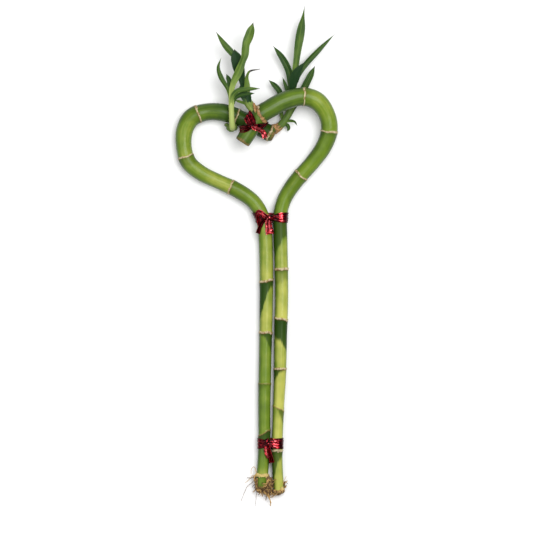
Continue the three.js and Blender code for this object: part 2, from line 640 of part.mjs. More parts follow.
function addPiece(parent, name, geometry, colour, roughness = 0.6, metalness = 0) {
  geometry.computeVertexNormals();
  const material = new THREE.MeshStandardMaterial({ color: colour, roughness, metalness });
  const mesh = new THREE.Mesh(geometry, material);
  mesh.name = name;
  parent.add(mesh);
}

const canes = new THREE.Group();
addPiece(canes, 'left_cane', leftCane.geometry(), COLOURS.cane, 0.4);
addPiece(canes, 'right_cane', rightCane.geometry(), COLOURS.cane, 0.4);

const shoots = new THREE.Group();
addPiece(shoots, 'left_shoot', shootGeometry(LEFT_SHOOT), COLOURS.leaf);
addPiece(shoots, 'middle_shoot', shootGeometry(MIDDLE_SHOOT), COLOURS.leaf);
addPiece(shoots, 'right_shoot', shootGeometry(RIGHT_SHOOT), COLOURS.leaf);

const ties = new THREE.Group();
const baseBands = [BASE_TIE.strandOffset, -BASE_TIE.strandOffset].map(shift => band(BASE_TIE, shift));
addPiece(ties, 'top_tie', tieGeometry([band(TOP_TIE)], TOP_FOIL), COLOURS.foil, 0.3, 0.7);
addPiece(ties, 'middle_tie', tieGeometry([band(MIDDLE_TIE)], MIDDLE_FOIL), COLOURS.foil, 0.3, 0.7);
addPiece(ties, 'base_tie', tieGeometry(baseBands, BASE_FOIL), COLOURS.foil, 0.3, 0.7);

const roots = new THREE.Group();
const leftRoots = clearOfCanes(rootsSolid(leftCane, LEFT_ROOTS));
const leftRootSpace = rootThreads(LEFT_ROOTS, SEAT_GAP);
const rightRoots = clearOfCanes(rootsSolid(rightCane, RIGHT_ROOTS).subtract(leftRootSpace));
addPiece(roots, 'left_roots', geometryOf(leftRoots), COLOURS.root, 0.85);
addPiece(roots, 'right_roots', geometryOf(rightRoots), COLOURS.root, 0.85);

const sheaths = new THREE.Group();
const topTieSpace = solid(loft(loopsRound(TOP_TIE, 0, WRAP_GAP + FOIL + SEAT_GAP, SEAT_GAP)));
const fitted = (geometry, shoot) => {
  const spaces = [caneSpace, topTieSpace, shootSolid(shoot, SEAT_GAP)];
  return geometryOf(largest(spaces.reduce((rest, space) => rest.subtract(space), solid(geometry))));
};
addPiece(sheaths, 'left_cane_dry_sheath', fitted(leftSheath(), RIGHT_SHOOT), COLOURS.sheath, 0.9);
addPiece(sheaths, 'right_cane_dry_sheath', fitted(rightSheath(), MIDDLE_SHOOT), COLOURS.sheath, 0.9);

plant.add(canes, shoots, ties, roots, sheaths);

export default plant;
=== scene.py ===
import math
from functools import lru_cache
from random import Random
from typing import NamedTuple

import bmesh
import bpy
from mathutils import Matrix, Vector, noise


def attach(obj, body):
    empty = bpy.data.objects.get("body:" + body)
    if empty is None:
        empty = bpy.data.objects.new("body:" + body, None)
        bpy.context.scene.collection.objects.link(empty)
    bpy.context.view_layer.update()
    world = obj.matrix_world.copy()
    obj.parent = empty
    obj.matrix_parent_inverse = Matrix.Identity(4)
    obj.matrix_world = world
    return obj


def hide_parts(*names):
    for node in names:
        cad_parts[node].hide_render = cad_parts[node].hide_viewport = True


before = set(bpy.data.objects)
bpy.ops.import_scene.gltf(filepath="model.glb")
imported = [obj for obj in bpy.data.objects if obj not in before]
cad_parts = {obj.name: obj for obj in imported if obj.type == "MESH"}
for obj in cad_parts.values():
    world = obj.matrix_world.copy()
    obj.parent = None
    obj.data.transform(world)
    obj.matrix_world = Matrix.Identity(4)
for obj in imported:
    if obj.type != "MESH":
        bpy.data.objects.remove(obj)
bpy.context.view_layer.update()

bl_info = {
    "name": "Heart-Shaped Lucky Bamboo",
    "version": (1, 0, 0),
    "blender": (4, 5, 0),
    "location": "View3D > Sidebar > Bamboo",
    "description": "Two bent green canes tied into a heart with red foil, with shoots and bare roots",
    "category": "Add Mesh",
}

MM = 0.001
UP = Vector((0, 0, 1))

# ---- places and sizes, in millimetres and degrees ------------------------------------------
# The plant lies on its back: +Y from the roots to the leaf tips, +Z up from the table.

TIE_LIFT = 1              # height of a cane's underside where the ties carry it
LOOP_LIFT = 0.6           # and at the lowest part of the left loop
CROSSING_LIFT = 16.3      # and of the right cane where it lies over the left one
TABLE_GAP = 0.25          # lowest skin of a loose root over the table
PAINTED_LIGHT_WAY = Vector((0.24, 0, 0.97))   # the way that the painted light on the canes comes from; their skin is painted darker, as shade, on the sides turned from it


class CanePlan(NamedTuple):
    # Its axis from foot to tip: x, y, radius, and the height of its underside if not TIE_LIFT.
    route: list
    scars: list           # its leaf-scar rings: x, y, tilt, how tan they are
    # One more than the scars, from the foot: paleness at the lower and at the upper end, then the
    # dark mark that the fallen leaf base left below the upper scar: its mean length, how much
    # longer it is on one side, the angle of that side (0 left, 90 up, 180 right), how dark it is.
    internodes: list
    end_round: float      # rounding of the cut ends
    weathered: float      # length of the weathered skin beside them
    buds: list            # which scar, the angle round the cane, size


class Ribbon(NamedTuple):
    points: list          # from the knot outwards
    widths: tuple
    folds: float          # pleats across it, and their depth
    depth: float
    twist: tuple = (0, 0)
    # Where across it is longest, -1 to 1, and how far both sides are cut back.
    peak: tuple = (0, 0, 0)
    # how much of it is painted maroon, as shade for turning from the light, and made duller
    dull: float = 0
    bright: float = 0     # how much painted highlight it gets for facing the light


class Tie(NamedTuple):
    middle: tuple         # of the foil loop
    width: float
    knot: tuple
    knot_size: tuple
    ribbons: list
    offset: float = 0     # how far the loop lies beside the middle
    heading: tuple = (0, 0)   # of the loop, under the lower cane and over the upper one
    gather: float = 0.62  # how much of the loop's width the knot takes in
    # how much of the foil is painted maroon, as shade, and made duller
    dull: float = 0
    sheens: tuple = ()    # places that catch the light: x from the middle, reach, strength


class Leaf(NamedTuple):
    points: list          # from its root to its tip
    width: float
    pale: float           # how light it is painted, from -1 for the darkest to 1; low values are painted shade for leaves under others and turned from the light
    shape: tuple = (0.5, 0.6, 0.78, 0.95, 1, 0.92, 0.66, 0.01)   # share of the width, root to tip
    twist: tuple = (0, 0)
    fade: float = 0.42    # where the paler part near its root ends
    dry: float = 0.02     # how much of its tip is dry


class Shoot(NamedTuple):
    stem: list
    radii: tuple
    paleness: float       # of its stem at the foot and at the top
    top: float
    leaves: list
    knobs: list = ()      # lumps of its foot: centre, radii


class Mat(NamedTuple):
    count: int
    foot: tuple           # where its threads start, and how far from there on each axis
    spread: tuple
    reach: tuple
    heading: tuple
    curl: float


class Roots(NamedTuple):
    collar: tuple         # upper and lower y of the ring of bark
    crown: float          # how old the ring looks: -1 cream, 1 brown
    seed: int
    placed: list          # roots given one by one: share of the settings' girth, points
    core: list            # the matted lump
    core_radii: tuple
    mats: list


LEFT_CANE = CanePlan(
    route=[
        (-9.6, -243, 5.2), (-7.1, -205, 5.3), (-6.9, -165, 5.6), (-6, -120, 5.7), (-5.2, -80, 6),
        (-5.2, -40, 6.2), (-6.4, -12, 6.2), (-9.2, 3.6, 6.3), (-16.5, 15.3, 6.5), (-30, 25.2, 6.8),
        (-48.6, 34, 6.6, LOOP_LIFT), (-64, 41.5, 6.9, LOOP_LIFT), (-75, 51, 7.2, LOOP_LIFT),
        (-79.2, 64, 7, LOOP_LIFT), (-78.6, 80, 7.6, LOOP_LIFT), (-72, 91.5, 8.2, LOOP_LIFT),
        (-58, 96.4, 7.7, LOOP_LIFT), (-43, 95.6, 7.9), (-27, 89.8, 7.4), (-11, 81.8, 7.3),
        (2.2, 75.2, 7.4),
    ],
    scars=[
        (-8.8, -230.6, 0, 1), (-7, -192.4, -30, 0.4), (-6.8, -148.1, 0, 0.3),
        (-5.1, -102.3, 0, 1.3), (-4.8, -55.4, -10, 1), (-37.1, 28.8, 0, 0.7), (-77.5, 56.2, 0, 0.6),
        (-66.6, 94.9, 0, 0.7), (-31.7, 92.2, 0, 0.5), (-1.6, 77.2, 0, 1),
    ],
    internodes=[
        (0.3, 0.35, 1, 0, 0, 0), (0.7, -0.05, 13, 12, 180, 0.7), (0.46, 0.42, 4, 3, 0, 0.4),
        (0.5, 0.42, 9, 9, 180, 0.9), (0.84, 0.66, 20, 15, 0, 1), (0.76, 0.45, 20, 6, 0, 0.25),
        (0.68, 0.5, 10, 4, 180, 0.35), (0.66, 0.42, 12, 5, 0, 0.35), (0.28, 0, 12, 3, 0, 0.75),
        # The last internodes lie under the shoots and the crossing cane: their low paleness and long
        # deep mark are partly painted shade.
        (-0.1, -0.2, 36, 3, 0, 0.9), (0.1, 0.1, 1, 0, 0, 0),
    ],
    end_round=5.2, weathered=6.6,
    buds=[(2, 165, 1.4), (3, 170, 1.8), (5, 25, 3), (7, 165, 2)],
)

RIGHT_CANE = CanePlan(
    route=[
        (6.5, -247.5, 4.6), (5, -225, 4.8), (4.7, -205, 4.8), (5.8, -172, 5), (7.2, -140, 5.5),
        (7.8, -105, 5.8), (8.7, -72, 5.9), (8.4, -42, 6), (7.6, -14, 6.2), (7.6, 4.5, 6.3),
        (11, 17.5, 6.5), (20.2, 32.4, 6.8, 1.2), (36.5, 51.2, 6.9, 2.6), (46.5, 65.2, 7.3, 4.2),
        (51.5, 80, 7.5, 6), (49.3, 93.5, 7.5, 7.8), (40.5, 105.4, 8.3, 9.7),
        (28.2, 109.5, 8.1, 11.4), (11, 105.5, 8.3, 13.6), (-2.5, 98.2, 8.3, 15.2),
        (-9.4, 93.7, 8, 16.1), (-14.4, 86.9, 7.5, CROSSING_LIFT), (-26.8, 68.2, 7, CROSSING_LIFT),
    ],
    scars=[
        (4, -208.4, 0, 1.2), (5.2, -170.6, 25, 0.42), (7.3, -134.6, 0, 1), (7.9, -90, 8, 0.8),
        (8.6, -44.8, 0, 1.4), (7.6, 1.2, 0, 0), (26.4, 39.6, 0, 0.7), (51.6, 78.8, 0, 0.8),
        (28.1, 109.5, 0, 0.6), (-11.2, 92.4, 23, 1),
    ],
    internodes=[
        (0.85, 0.74, 17, 11, 0, 0.85), (0.95, 0.8, 5, 7, 180, 0.7), (0.95, 0.85, 5.5, 6.5, 0, 0.95),
        (0.72, 0.85, 22, 5, 180, 1), (1, 0.6, 12, 3, 0, 0.4), (0.75, 0.5, 26, 9, 0, 0.9),
        (0.5, 0.46, 24, 8, 180, 0.3), (0.44, 0.32, 14, 8, 180, 0.2), (0.56, 0.5, 8, 3, 0, 0.3),
        (0.26, 0.2, 14, 4, 0, 0.25), (0.24, 0.1, 1, 0, 0, 0),
    ],
    end_round=2, weathered=6.4,
    buds=[(0, 100, 3.2), (1, 170, 2.4), (2, 165, 1.6), (6, 30, 1.8), (7, 80, 2)],
)

TOP_TIE = Tie(
    middle=(-18.2, 82.6), width=4.4, knot=(-18.8, 82.2, 33), knot_size=(2.8, 2.4, 1.8),
    heading=(26, 2),
    ribbons=[
        Ribbon([(-16.4, 80.9, 33.2), (-18.4, 85.6, 34), (-20.8, 90.5, 34), (-23.1, 95.3, 32.8)],
            (5, 8.6, 8.8, 7.8), 2.5, 1, peak=(-0.9, 0, 0.163), dull=0.72),
        Ribbon([(-18.6, 82, 33.8), (-14, 80.2, 33.8), (-10.2, 78.8, 32.4), (-7.4, 76, 30.8),
            (-6, 72.2, 29.8)], (3, 3.8, 4.2, 4.4, 4.8), 1.5, 0.8, twist=(0, 10, -12, 14, 6),
            bright=0.85),
        Ribbon([(-18.4, 81.6, 33.2), (-22.4, 80.4, 31.6), (-26, 80, 29), (-29, 80, 25.6)],
            (3, 5.4, 7, 6.6), 3, 0.9, dull=0.72),
        Ribbon([(-12, 79.4, 32.6), (-9.8, 80.6, 32.2), (-7, 83, 31), (-4.2, 85.6, 29.4)],
            (2.6, 2.2, 1.5, 0.7), 1.5, 0.6, dull=0.72),
    ],
)

MIDDLE_TIE = Tie(
    middle=(0, 1.2), width=9.2, knot=(-1.4, 0.8, 15.2), knot_size=(3, 2.6, 1.9),
    sheens=[(9, 2.4, 1)],
    ribbons=[
        Ribbon([(-1.6, 1, 15.6), (-5.8, 3, 16.3), (-9.2, 5.2, 16.3), (-12.2, 6.2, 15.4),
            (-13.8, 3.6, 14)], (2.6, 3.2, 4, 4.2, 3), 1.5, 0.6, bright=0.6),
        Ribbon([(-11.8, 5.4, 14.6), (-12.2, 1.4, 13.8), (-11.8, -3, 13.4), (-11.2, -7.2, 13)],
            (3.6, 4.2, 3.8, 2.4), 2.5, 0.9),
        Ribbon([(-2, 0.6, 15.8), (-7, -1.6, 15.6), (-10.6, -7, 14.8), (-12.8, -13.2, 13.4)],
            (2.6, 3, 3.4, 4), 1.5, 1.2),
        Ribbon([(-2.4, 0.4, 16), (-3.2, -3.2, 15.8), (-2.7, -8.2, 15.2), (-1.9, -13.6, 14.4)],
            (4.2, 5.6, 6.6, 7.4), 2, 0.8, bright=0.8),
        Ribbon([(-8, 3.4, 15.6), (-4.8, 1.8, 16.4), (-1.6, 0.4, 16.8), (2.4, -0.2, 16)],
            (3.6, 2.6, 2.4, 3), 1.5, 0.6, twist=(0, 60, 140, 180)),
    ],
)

BASE_TIE = Tie(
    middle=(-1.8, -201.9), width=9.8, knot=(-4.4, -201.6, 13.2), knot_size=(2.4, 4.4, 1.7),
    offset=-0.2, gather=0.3, dull=0.3, sheens=[(5, 3, 1), (-8.8, 1.8, 0.6)],
    ribbons=[
        Ribbon([(-4.6, -202.8, 14), (-6, -206, 14), (-5.2, -211, 13.6), (-3.8, -215, 13)],
            (1.8, 2.4, 2.2, 1.9), 1, 0.5, bright=0.8),
        Ribbon([(-3.6, -202.6, 14), (-2.8, -207.4, 14), (-1.6, -213, 13.4), (-0.3, -219.2, 12.6)],
            (2.4, 3.2, 4, 5), 3, 0.9),
    ],
)

LEFT_SHOOT = Shoot(
    stem=[
        (-34.4, 87, 9), (-35.2, 82.4, 12.5), (-35.6, 83, 17.5), (-36, 88, 20.2), (-36.4, 97, 20.6),
        (-36.6, 106, 20.3), (-36.3, 115, 20.6),
    ],
    radii=(3.4, 3.1, 2.7, 2.5, 2.5, 2.3, 1), paleness=0.85, top=0.7,
    knobs=[
        ((-36.6, 82.2, 11.4), (4.6, 4, 5)), ((-40.6, 84.6, 10.6), (2.4, 1.7, 3)),
        ((-33, 82.4, 12), (2.2, 3, 3.4)),
    ],
    leaves=[
        Leaf([(-36.6, 103, 20.5), (-39.4, 115.3, 22), (-45.7, 125.6, 23), (-48.3, 135, 22.8),
            (-45.5, 144.5, 21)], 5.2, 0.2, shape=(0.6, 0.62, 0.74, 0.95, 1, 0.74, 0.38, 0.01),
            twist=(0, 25, 40, 20, 0)),
        Leaf([(-36.2, 100, 21), (-36.2, 115.2, 24), (-33.9, 123.2, 25.4), (-30.2, 131.3, 26.4),
            (-27.2, 139.3, 27), (-24.8, 145.8, 27), (-24.1, 151.4, 26.8), (-23, 157.1, 26.6),
            (-20.3, 162.9, 26.2), (-18.9, 168.3, 25.6), (-16.8, 175.9, 25)], 9, 0.44,
            shape=(0.5, 0.5, 0.52, 0.58, 0.76, 0.82, 0.68, 0.82, 0.76, 0.92, 0.74, 0.01),
            twist=(0, 5, 10, 30, 20, -15, 12), fade=0.5),
        Leaf([(-36.2, 108, 21), (-37.5, 121, 21), (-40.9, 129.8, 19.6)], 5, -0.1),
        Leaf([(-36.8, 100, 21), (-35.5, 109, 24), (-30.8, 114, 26.4), (-22.6, 115.4, 27.2),
            (-11, 116.2, 26.6)], 4.8, 0.3, shape=(0.6, 0.7, 0.85, 1, 1, 0.9, 0.6, 0.01),
            twist=(0, 0, -20, -30, -30)),
        Leaf([(-36.2, 99, 20.6), (-32.4, 108.6, 22.6), (-25, 111.2, 24), (-15.6, 112.2, 24.2)], 4.2,
            -0.1),
    ],
)

MIDDLE_SHOOT = Shoot(
    stem=[
        (-11.5, 95.5, 22.4), (-15.6, 97.6, 21.6), (-19.4, 101.4, 20), (-22.2, 106.4, 18.6),
        (-24.6, 112, 17.8), (-25.8, 119.6, 17.8),
    ],
    radii=(3.9, 4.2, 4, 3.7, 3.4, 2.4), paleness=0.66, top=-0.1,
    leaves=[
        Leaf([(-19.4, 100, 20.6), (-23.4, 103.4, 19.4), (-27.8, 104.8, 18), (-33.4, 106.4, 16.4)],
            4.4, 0.5, shape=(1, 1, 0.8, 0.6, 0.5, 0.01)),
        Leaf([(-23.6, 106, 18), (-22.7, 118, 19.4), (-23, 127, 21), (-20.4, 132.2, 21.6),
            (-10.4, 134.3, 21)], 6.4, 0.55, shape=(0.9, 1, 0.95, 0.8, 0.6, 0.4, 0.24, 0.01),
            twist=(0, 10, 40, 55, 60), dry=0.35),
        Leaf([(-25, 108, 17.8), (-26.6, 122, 18.8), (-27.6, 134, 20.4), (-33, 144, 21.2),
            (-42.6, 156, 20.8), (-50.6, 168.2, 20)], 6, 0.25,
            shape=(0.6, 0.6, 0.66, 0.78, 0.96, 1, 0.64, 0.01), twist=(0, 0, 15, 25, 10, 0)),
        Leaf([(-25.2, 108, 17.6), (-27.4, 126, 20), (-30.4, 137, 22), (-32.2, 145, 22.6),
            (-33.6, 152, 22.6)], 10.4, -0.6, shape=(0.2, 0.3, 0.42, 0.66, 0.94, 1, 0.86, 0.01)),
        Leaf([(-21.6, 104.6, 21.2), (-25.2, 109.4, 21.6), (-27.4, 115, 21.2), (-26.8, 122.6, 20.2)],
            5.6, -0.5, shape=(0.5, 1, 1, 0.9, 0.6, 0.01)),
        Leaf([(-20, 103, 22.4), (-20.8, 108, 22.4), (-19.2, 112.6, 22)], 4.4, -0.5,
            shape=(0.6, 1, 0.9, 0.01)),
    ],
)

RIGHT_SHOOT = Shoot(
    stem=[
        (-0.5, 79.5, 8), (6.8, 83.6, 7), (11.2, 88.7, 6.4), (15.3, 95.9, 6), (17.1, 103.5, 5.8),
        (17.2, 111.6, 6.4), (17.5, 120, 8),
    ],
    radii=(3.6, 3.4, 3.2, 3.1, 3.1, 2.8, 1.3), paleness=0.24, top=0.2,
    leaves=[
        Leaf([(17, 100, 6.6), (17.2, 120, 9.4), (15.4, 133, 10.4), (9.8, 144, 10.8),
            (0.9, 155.9, 10)], 6.6, 0, twist=(0, -10, -25, -10, 0)),
        Leaf([(17.5, 100, 7), (20, 127, 11), (21.6, 140, 13), (23.6, 156, 13.8), (26.6, 174, 13),
            (29.4, 191.9, 12)], 7.8, 0.2,
            shape=(0.6, 0.6, 0.62, 0.66, 0.7, 0.76, 0.9, 1, 0.82, 0.3, 0.01),
            twist=(0, -5, 5, 10, 15), fade=0.8),
        Leaf([(17.5, 102, 6.6), (21.6, 124.9, 8.4), (28, 136.5, 9.4), (42, 152, 10),
            (56.8, 166.8, 9)], 5.2, 0.05, shape=(0.6, 0.66, 0.8, 0.95, 1, 0.9, 0.5, 0.01),
            twist=(0, 10, 20, 20, 10)),
        Leaf([(17.4, 102, 8), (18.4, 119, 11.6), (22, 130.6, 14.4), (29.2, 141, 14.6)], 8.8, -0.35,
            shape=(0.3, 0.34, 0.42, 0.7, 1, 0.9, 0.5, 0.01)),
        Leaf([(14.4, 91, 6), (19.5, 101, 4.8), (24.5, 110, 4.6), (31, 122, 7), (38.8, 138, 8.6)],
            6.4, 0.05, shape=(0.6, 0.7, 0.85, 0.97, 1, 0.95, 0.8, 0.01)),
        Leaf([(10.6, 87, 6), (8.3, 96, 4.4), (8.8, 106, 4.6), (6.4, 115.5, 7), (-3.2, 125.4, 8.6)],
            5, 0.02, shape=(0.6, 0.66, 0.75, 0.9, 1, 1, 0.85, 0.01)),
        Leaf([(17, 102, 6.4), (14, 115, 7.4), (9.4, 127.6, 8.6)], 3.4, -0.1),
        Leaf([(10.6, 86, 6.4), (15, 88.4, 7.8), (20.4, 88, 8.2), (22.9, 84.2, 7.6)], 2.8, 0.2,
            twist=(0, 20, 50, 70)),
        Leaf([(8.6, 84, 6.6), (13.2, 85, 5.4), (15, 82.4, 4.8), (14, 79.1, 4.6)], 3.4, 0),
    ],
)

LEFT_ROOTS = Roots(
    collar=(-229, -232.2), crown=-1, seed=11,
    placed=[
        (0.6, [(-14, -230.5, 6), (-17.4, -231.4, 5.4), (-20.7, -234.9, 3.6), (-24.3, -238, 2)]),
        (0.5, [(-14, -232, 5), (-18, -237.6, 4.2), (-22.4, -241.4, 2.8), (-25.6, -248.6, 1.8),
            (-27.9, -254.7, 1.4)]),
        (0.6, [(-13.6, -229.6, 7), (-16.2, -223, 6.6), (-18.6, -225.4, 5.6), (-19, -230, 4.4)]),
        (0.4, [(-12.6, -232, 4), (-13.4, -239, 3), (-14.4, -252.9, 1.6), (-15, -259.2, 1.2)]),
        (1.1, [(-14.2, -229.4, 8), (-15.8, -233.1, 7.4), (-15.2, -238.6, 6), (-13.8, -244.4, 4.4)]),
        (0.9, [(-14.6, -231, 7), (-18.6, -233.4, 5), (-22.6, -233.2, 3.6)]),
        (1.5, [(-4.6, -231, 9), (-2.8, -236, 9.4), (-3.6, -247, 7), (-1.4, -254, 4),
            (-0.9, -258.8, 2)]),
        (1.2, [(-5, -231, 10), (-4.4, -238, 10.4), (-4.8, -246, 8), (-5.6, -253.6, 5)]),
        (1.2, [(-8, -243.6, 8), (-5.4, -247.6, 8), (-2.6, -251.4, 6.4), (-0.6, -256, 4.4)]),
        (1.1, [(-13.6, -242, 7), (-11.4, -245.6, 6), (-7, -246.6, 5), (-3.4, -249.8, 4)]),
    ],
    core=[(-3.6, -230.5, 8.6), (-2.6, -237, 9), (-2.8, -243.5, 7), (-2.8, -250, 4.2)],
    core_radii=(1.4, 3.6, 3, 0.8),
    mats=[
        Mat(58, foot=(-3.4, -236.5, 8), spread=(2.6, 4.6, 3.4), reach=(7, 13),
            heading=(0, -0.5, -0.1), curl=0.9),
        Mat(16, foot=(-3.2, -241, 6.6), spread=(2, 2, 3), reach=(7, 12), heading=(0.15, -1, -0.2),
            curl=0.35),
        Mat(30, foot=(-14, -235.5, 6.6), spread=(0.8, 5, 3.6), reach=(4, 8),
            heading=(0.1, -1, -0.1), curl=0.6),
        Mat(40, foot=(-10, -243.6, 6.2), spread=(4.4, 0.7, 3.6), reach=(4, 9),
            heading=(0.8, -0.3, -0.1), curl=0.7),
    ],
)

RIGHT_ROOTS = Roots(
    collar=(-243.6, -246.4), crown=0.3, seed=5,
    placed=[
        (0.6, [(9.6, -241.6, 7.6), (10.4, -236.4, 8), (12.8, -231.6, 7)]),
        (0.7, [(9.8, -241.8, 6.6), (11.4, -236.2, 6.4), (14.2, -238.6, 5)]),
        (1, [(4.4, -245.8, 5), (2.6, -249.2, 4), (-1.6, -251.4, 2.6)]),
        (2.2, [(4.4, -246.6, 8.4), (7.4, -247.2, 8.8), (10.2, -245.2, 7.8)]),
        (3.4, [(8.2, -241.4, 9.4), (9.4, -243, 9.2), (8.8, -244.8, 8.2)]),
    ],
    core=[(3.4, -245.6, 6), (6, -247.6, 5.6), (9.2, -246.4, 5.6)],
    core_radii=(1.4, 1.7, 1.2),
    mats=[
        Mat(26, foot=(5.6, -246.6, 5.6), spread=(4, 0.9, 3.6), reach=(2, 5), heading=(-1, -0.2, 0),
            curl=0.7),
        Mat(9, foot=(10.8, -240, 6), spread=(0.5, 2.5, 2.4), reach=(2, 5), heading=(0.6, 0.5, 0),
            curl=0.8),
    ],
)

# ---- sizes and colours a user would change -----------------------------------------------


def colour(name, description, default):
    return bpy.props.FloatVectorProperty(
        name=name, description=description, default=default, subtype="COLOR", min=0, max=1
    )


def length(name, description, default, **limits):
    return bpy.props.FloatProperty(
        name=name, description=description, default=default, unit="LENGTH", precision=5, **limits
    )


class CaneSettings(bpy.types.PropertyGroup):
    # Deep green is the skin's own darker tone and also painted shade on the sides that turn from the
    # light and under the shoots.
    deep_green_and_shade: colour("Deep Green", "Skin near the tips and under the shoots", (0.038, 0.080, 0.011))
    fresh: colour("Fresh Green", "Most of the skin", (0.128, 0.208, 0.013))
    pale: colour("Pale Green", "Young skin low on the canes", (0.46, 0.46, 0.09))
    mark: colour("Mark Green", "Skin that the fallen leaf bases shaded", (0.013, 0.043, 0.002))
    scar: colour("Scar Cream", "Leaf-scar rings and cut fibres", (0.52, 0.43, 0.27))
    rim: colour("Rim Tan", "Weathered parts of the rings", (0.26, 0.15, 0.055))
    bark: colour("Bark Brown", "Buds, old scar edges and the rims of the cuts", (0.10, 0.045, 0.014))
    sides: bpy.props.IntProperty(name="Sides", description="Faces round a cane", default=64, min=16)
    spacing: length("Spacing", "Distance between rings of faces", 1.6 * MM, min=0.5 * MM)


class LeafSettings(bpy.types.PropertyGroup):
    # The darkest leaf green is partly the leaves' own darker tone and partly painted shade on leaves
    # that lie under others and turn from the light.
    leaf_dark_and_shade: colour("Dark Green", "Old leaves deep in a shoot", (0.007, 0.032, 0.006))
    middle: colour("Middle Green", "Upper faces of full-grown leaves", (0.034, 0.078, 0.014))
    light: colour("Light Green", "Young leaves and undersides", (0.16, 0.25, 0.040))
    stem: colour("Stem Green", "Soft stems of the shoots", (0.36, 0.43, 0.13))
    tip: colour("Dry Tip", "Withered leaf tips", (0.06, 0.05, 0.045))
    thickness: length("Thickness", "Leaf thickness", 0.38 * MM, min=0.1 * MM)


class FoilSettings(bpy.types.PropertyGroup):
    red: colour("Foil Red", "Metallised skin of the ties", (0.25, 0.004, 0.010))
    # The bright red and the maroon are painted highlight and painted shade, for foil that faces or
    # turns from the light; the shade red is painted shade in the folds.
    bright: colour("Foil Bright", "Red of the ribbons that face the light", (0.48, 0.008, 0.018))
    maroon: colour("Foil Maroon", "Ribbons turned from the light", (0.07, 0.0015, 0.005))
    shade: colour("Foil Shade", "Red in the bottoms of the folds", (0.018, 0.001, 0.002))
    thickness: length("Thickness", "Foil thickness", 0.14 * MM, min=0.05 * MM)
    crinkle: length("Crinkle", "Height of the creases", 0.34 * MM, min=0)


class RootSettings(bpy.types.PropertyGroup):
    cream: colour("Cream", "Root crowns and torn bark", (0.60, 0.46, 0.16))
    straw: colour("Straw", "Fresh roots", (0.54, 0.33, 0.11))
    brown: colour("Brown", "Old roots and bark", (0.060, 0.022, 0.006))
    girth: length("Girth", "Radius of a thread at its root", 0.42 * MM, min=0.1 * MM)


class SheathSettings(bpy.types.PropertyGroup):
    straw: colour("Straw", "Papery remains of leaf bases", (0.46, 0.25, 0.09))
    rust: colour("Rust", "Weathered edges and veins", (0.16, 0.075, 0.025))
    thickness: length("Thickness", "Sheath thickness", 0.3 * MM, min=0.1 * MM)


class StudioSettings(bpy.types.PropertyGroup):
    paper: colour("Paper", "Floor of the studio", (0.9, 0.9, 0.9))
    frame_width: length("Frame Width", "Width that the camera takes in on the table", 479.7 * MM)
    lens: bpy.props.FloatProperty(name="Lens", description="Focal length in mm", default=200, min=50)
    aim: bpy.props.FloatVectorProperty(
        name="Aim", description="Point under the camera", size=3, subtype="XYZ", unit="LENGTH",
        default=(-4.95 * MM, -42.75 * MM, 9 * MM),
    )


SETTINGS = {
    "bamboo_canes": CaneSettings,
    "bamboo_leaves": LeafSettings,
    "bamboo_foil": FoilSettings,
    "bamboo_roots": RootSettings,
    "bamboo_sheaths": SheathSettings,
    "bamboo_studio": StudioSettings,
}

# ---- numbers, noise and lines --------------------------------------------------------------


def lerp(low, high, share):
    return low + (high - low) * share


def clamp(value, low=0.0, high=1.0):
    return max(low, min(high, value))


def ease(value, low, high):
    """0 below low, 1 above high and a smooth step between them."""
    share = clamp((value - low) / (high - low))
    return share * share * (3 - 2 * share)


def bump_at(value, width):
    """A smooth bump of height 1 at value 0, about two widths across."""
    return math.exp(-((value / width) ** 2))


def smooth_between(values, place):
    """Smooth value at a place from 0 to len(values) - 1 in a list of numbers."""
    low = min(int(clamp(place, 0, len(values) - 1)), len(values) - 2)
    share = place - low
    before, after = values[max(low - 1, 0)], values[min(low + 2, len(values) - 1)]
    start, end = values[low], values[low + 1]
    slope_in, slope_out = (end - before) / 2, (after - start) / 2
    return (
        start + share * slope_in
        + share**2 * (3 * (end - start) - 2 * slope_in - slope_out)
        + share**3 * (2 * (start - end) + slope_in + slope_out)
    )


def along(values, share):
    """Value of an evenly spaced list at a share of its length."""
    return smooth_between(values, clamp(share) * (len(values) - 1))


def rough(x, y, z):
    """Smooth noise from -1 to 1."""
    return noise.noise(Vector((x, y, z)))


def ring_spot(angle, reach, height=0.0):
    """A spot on a ring, for noise without a seam."""
    return Vector((math.cos(angle) * reach, math.sin(angle) * reach, height))


def to_rim(side, up, angle, radius):
    """The step from the middle of a tube to its skin."""
    return side * (radius * math.cos(angle)) + up * (radius * math.sin(angle))


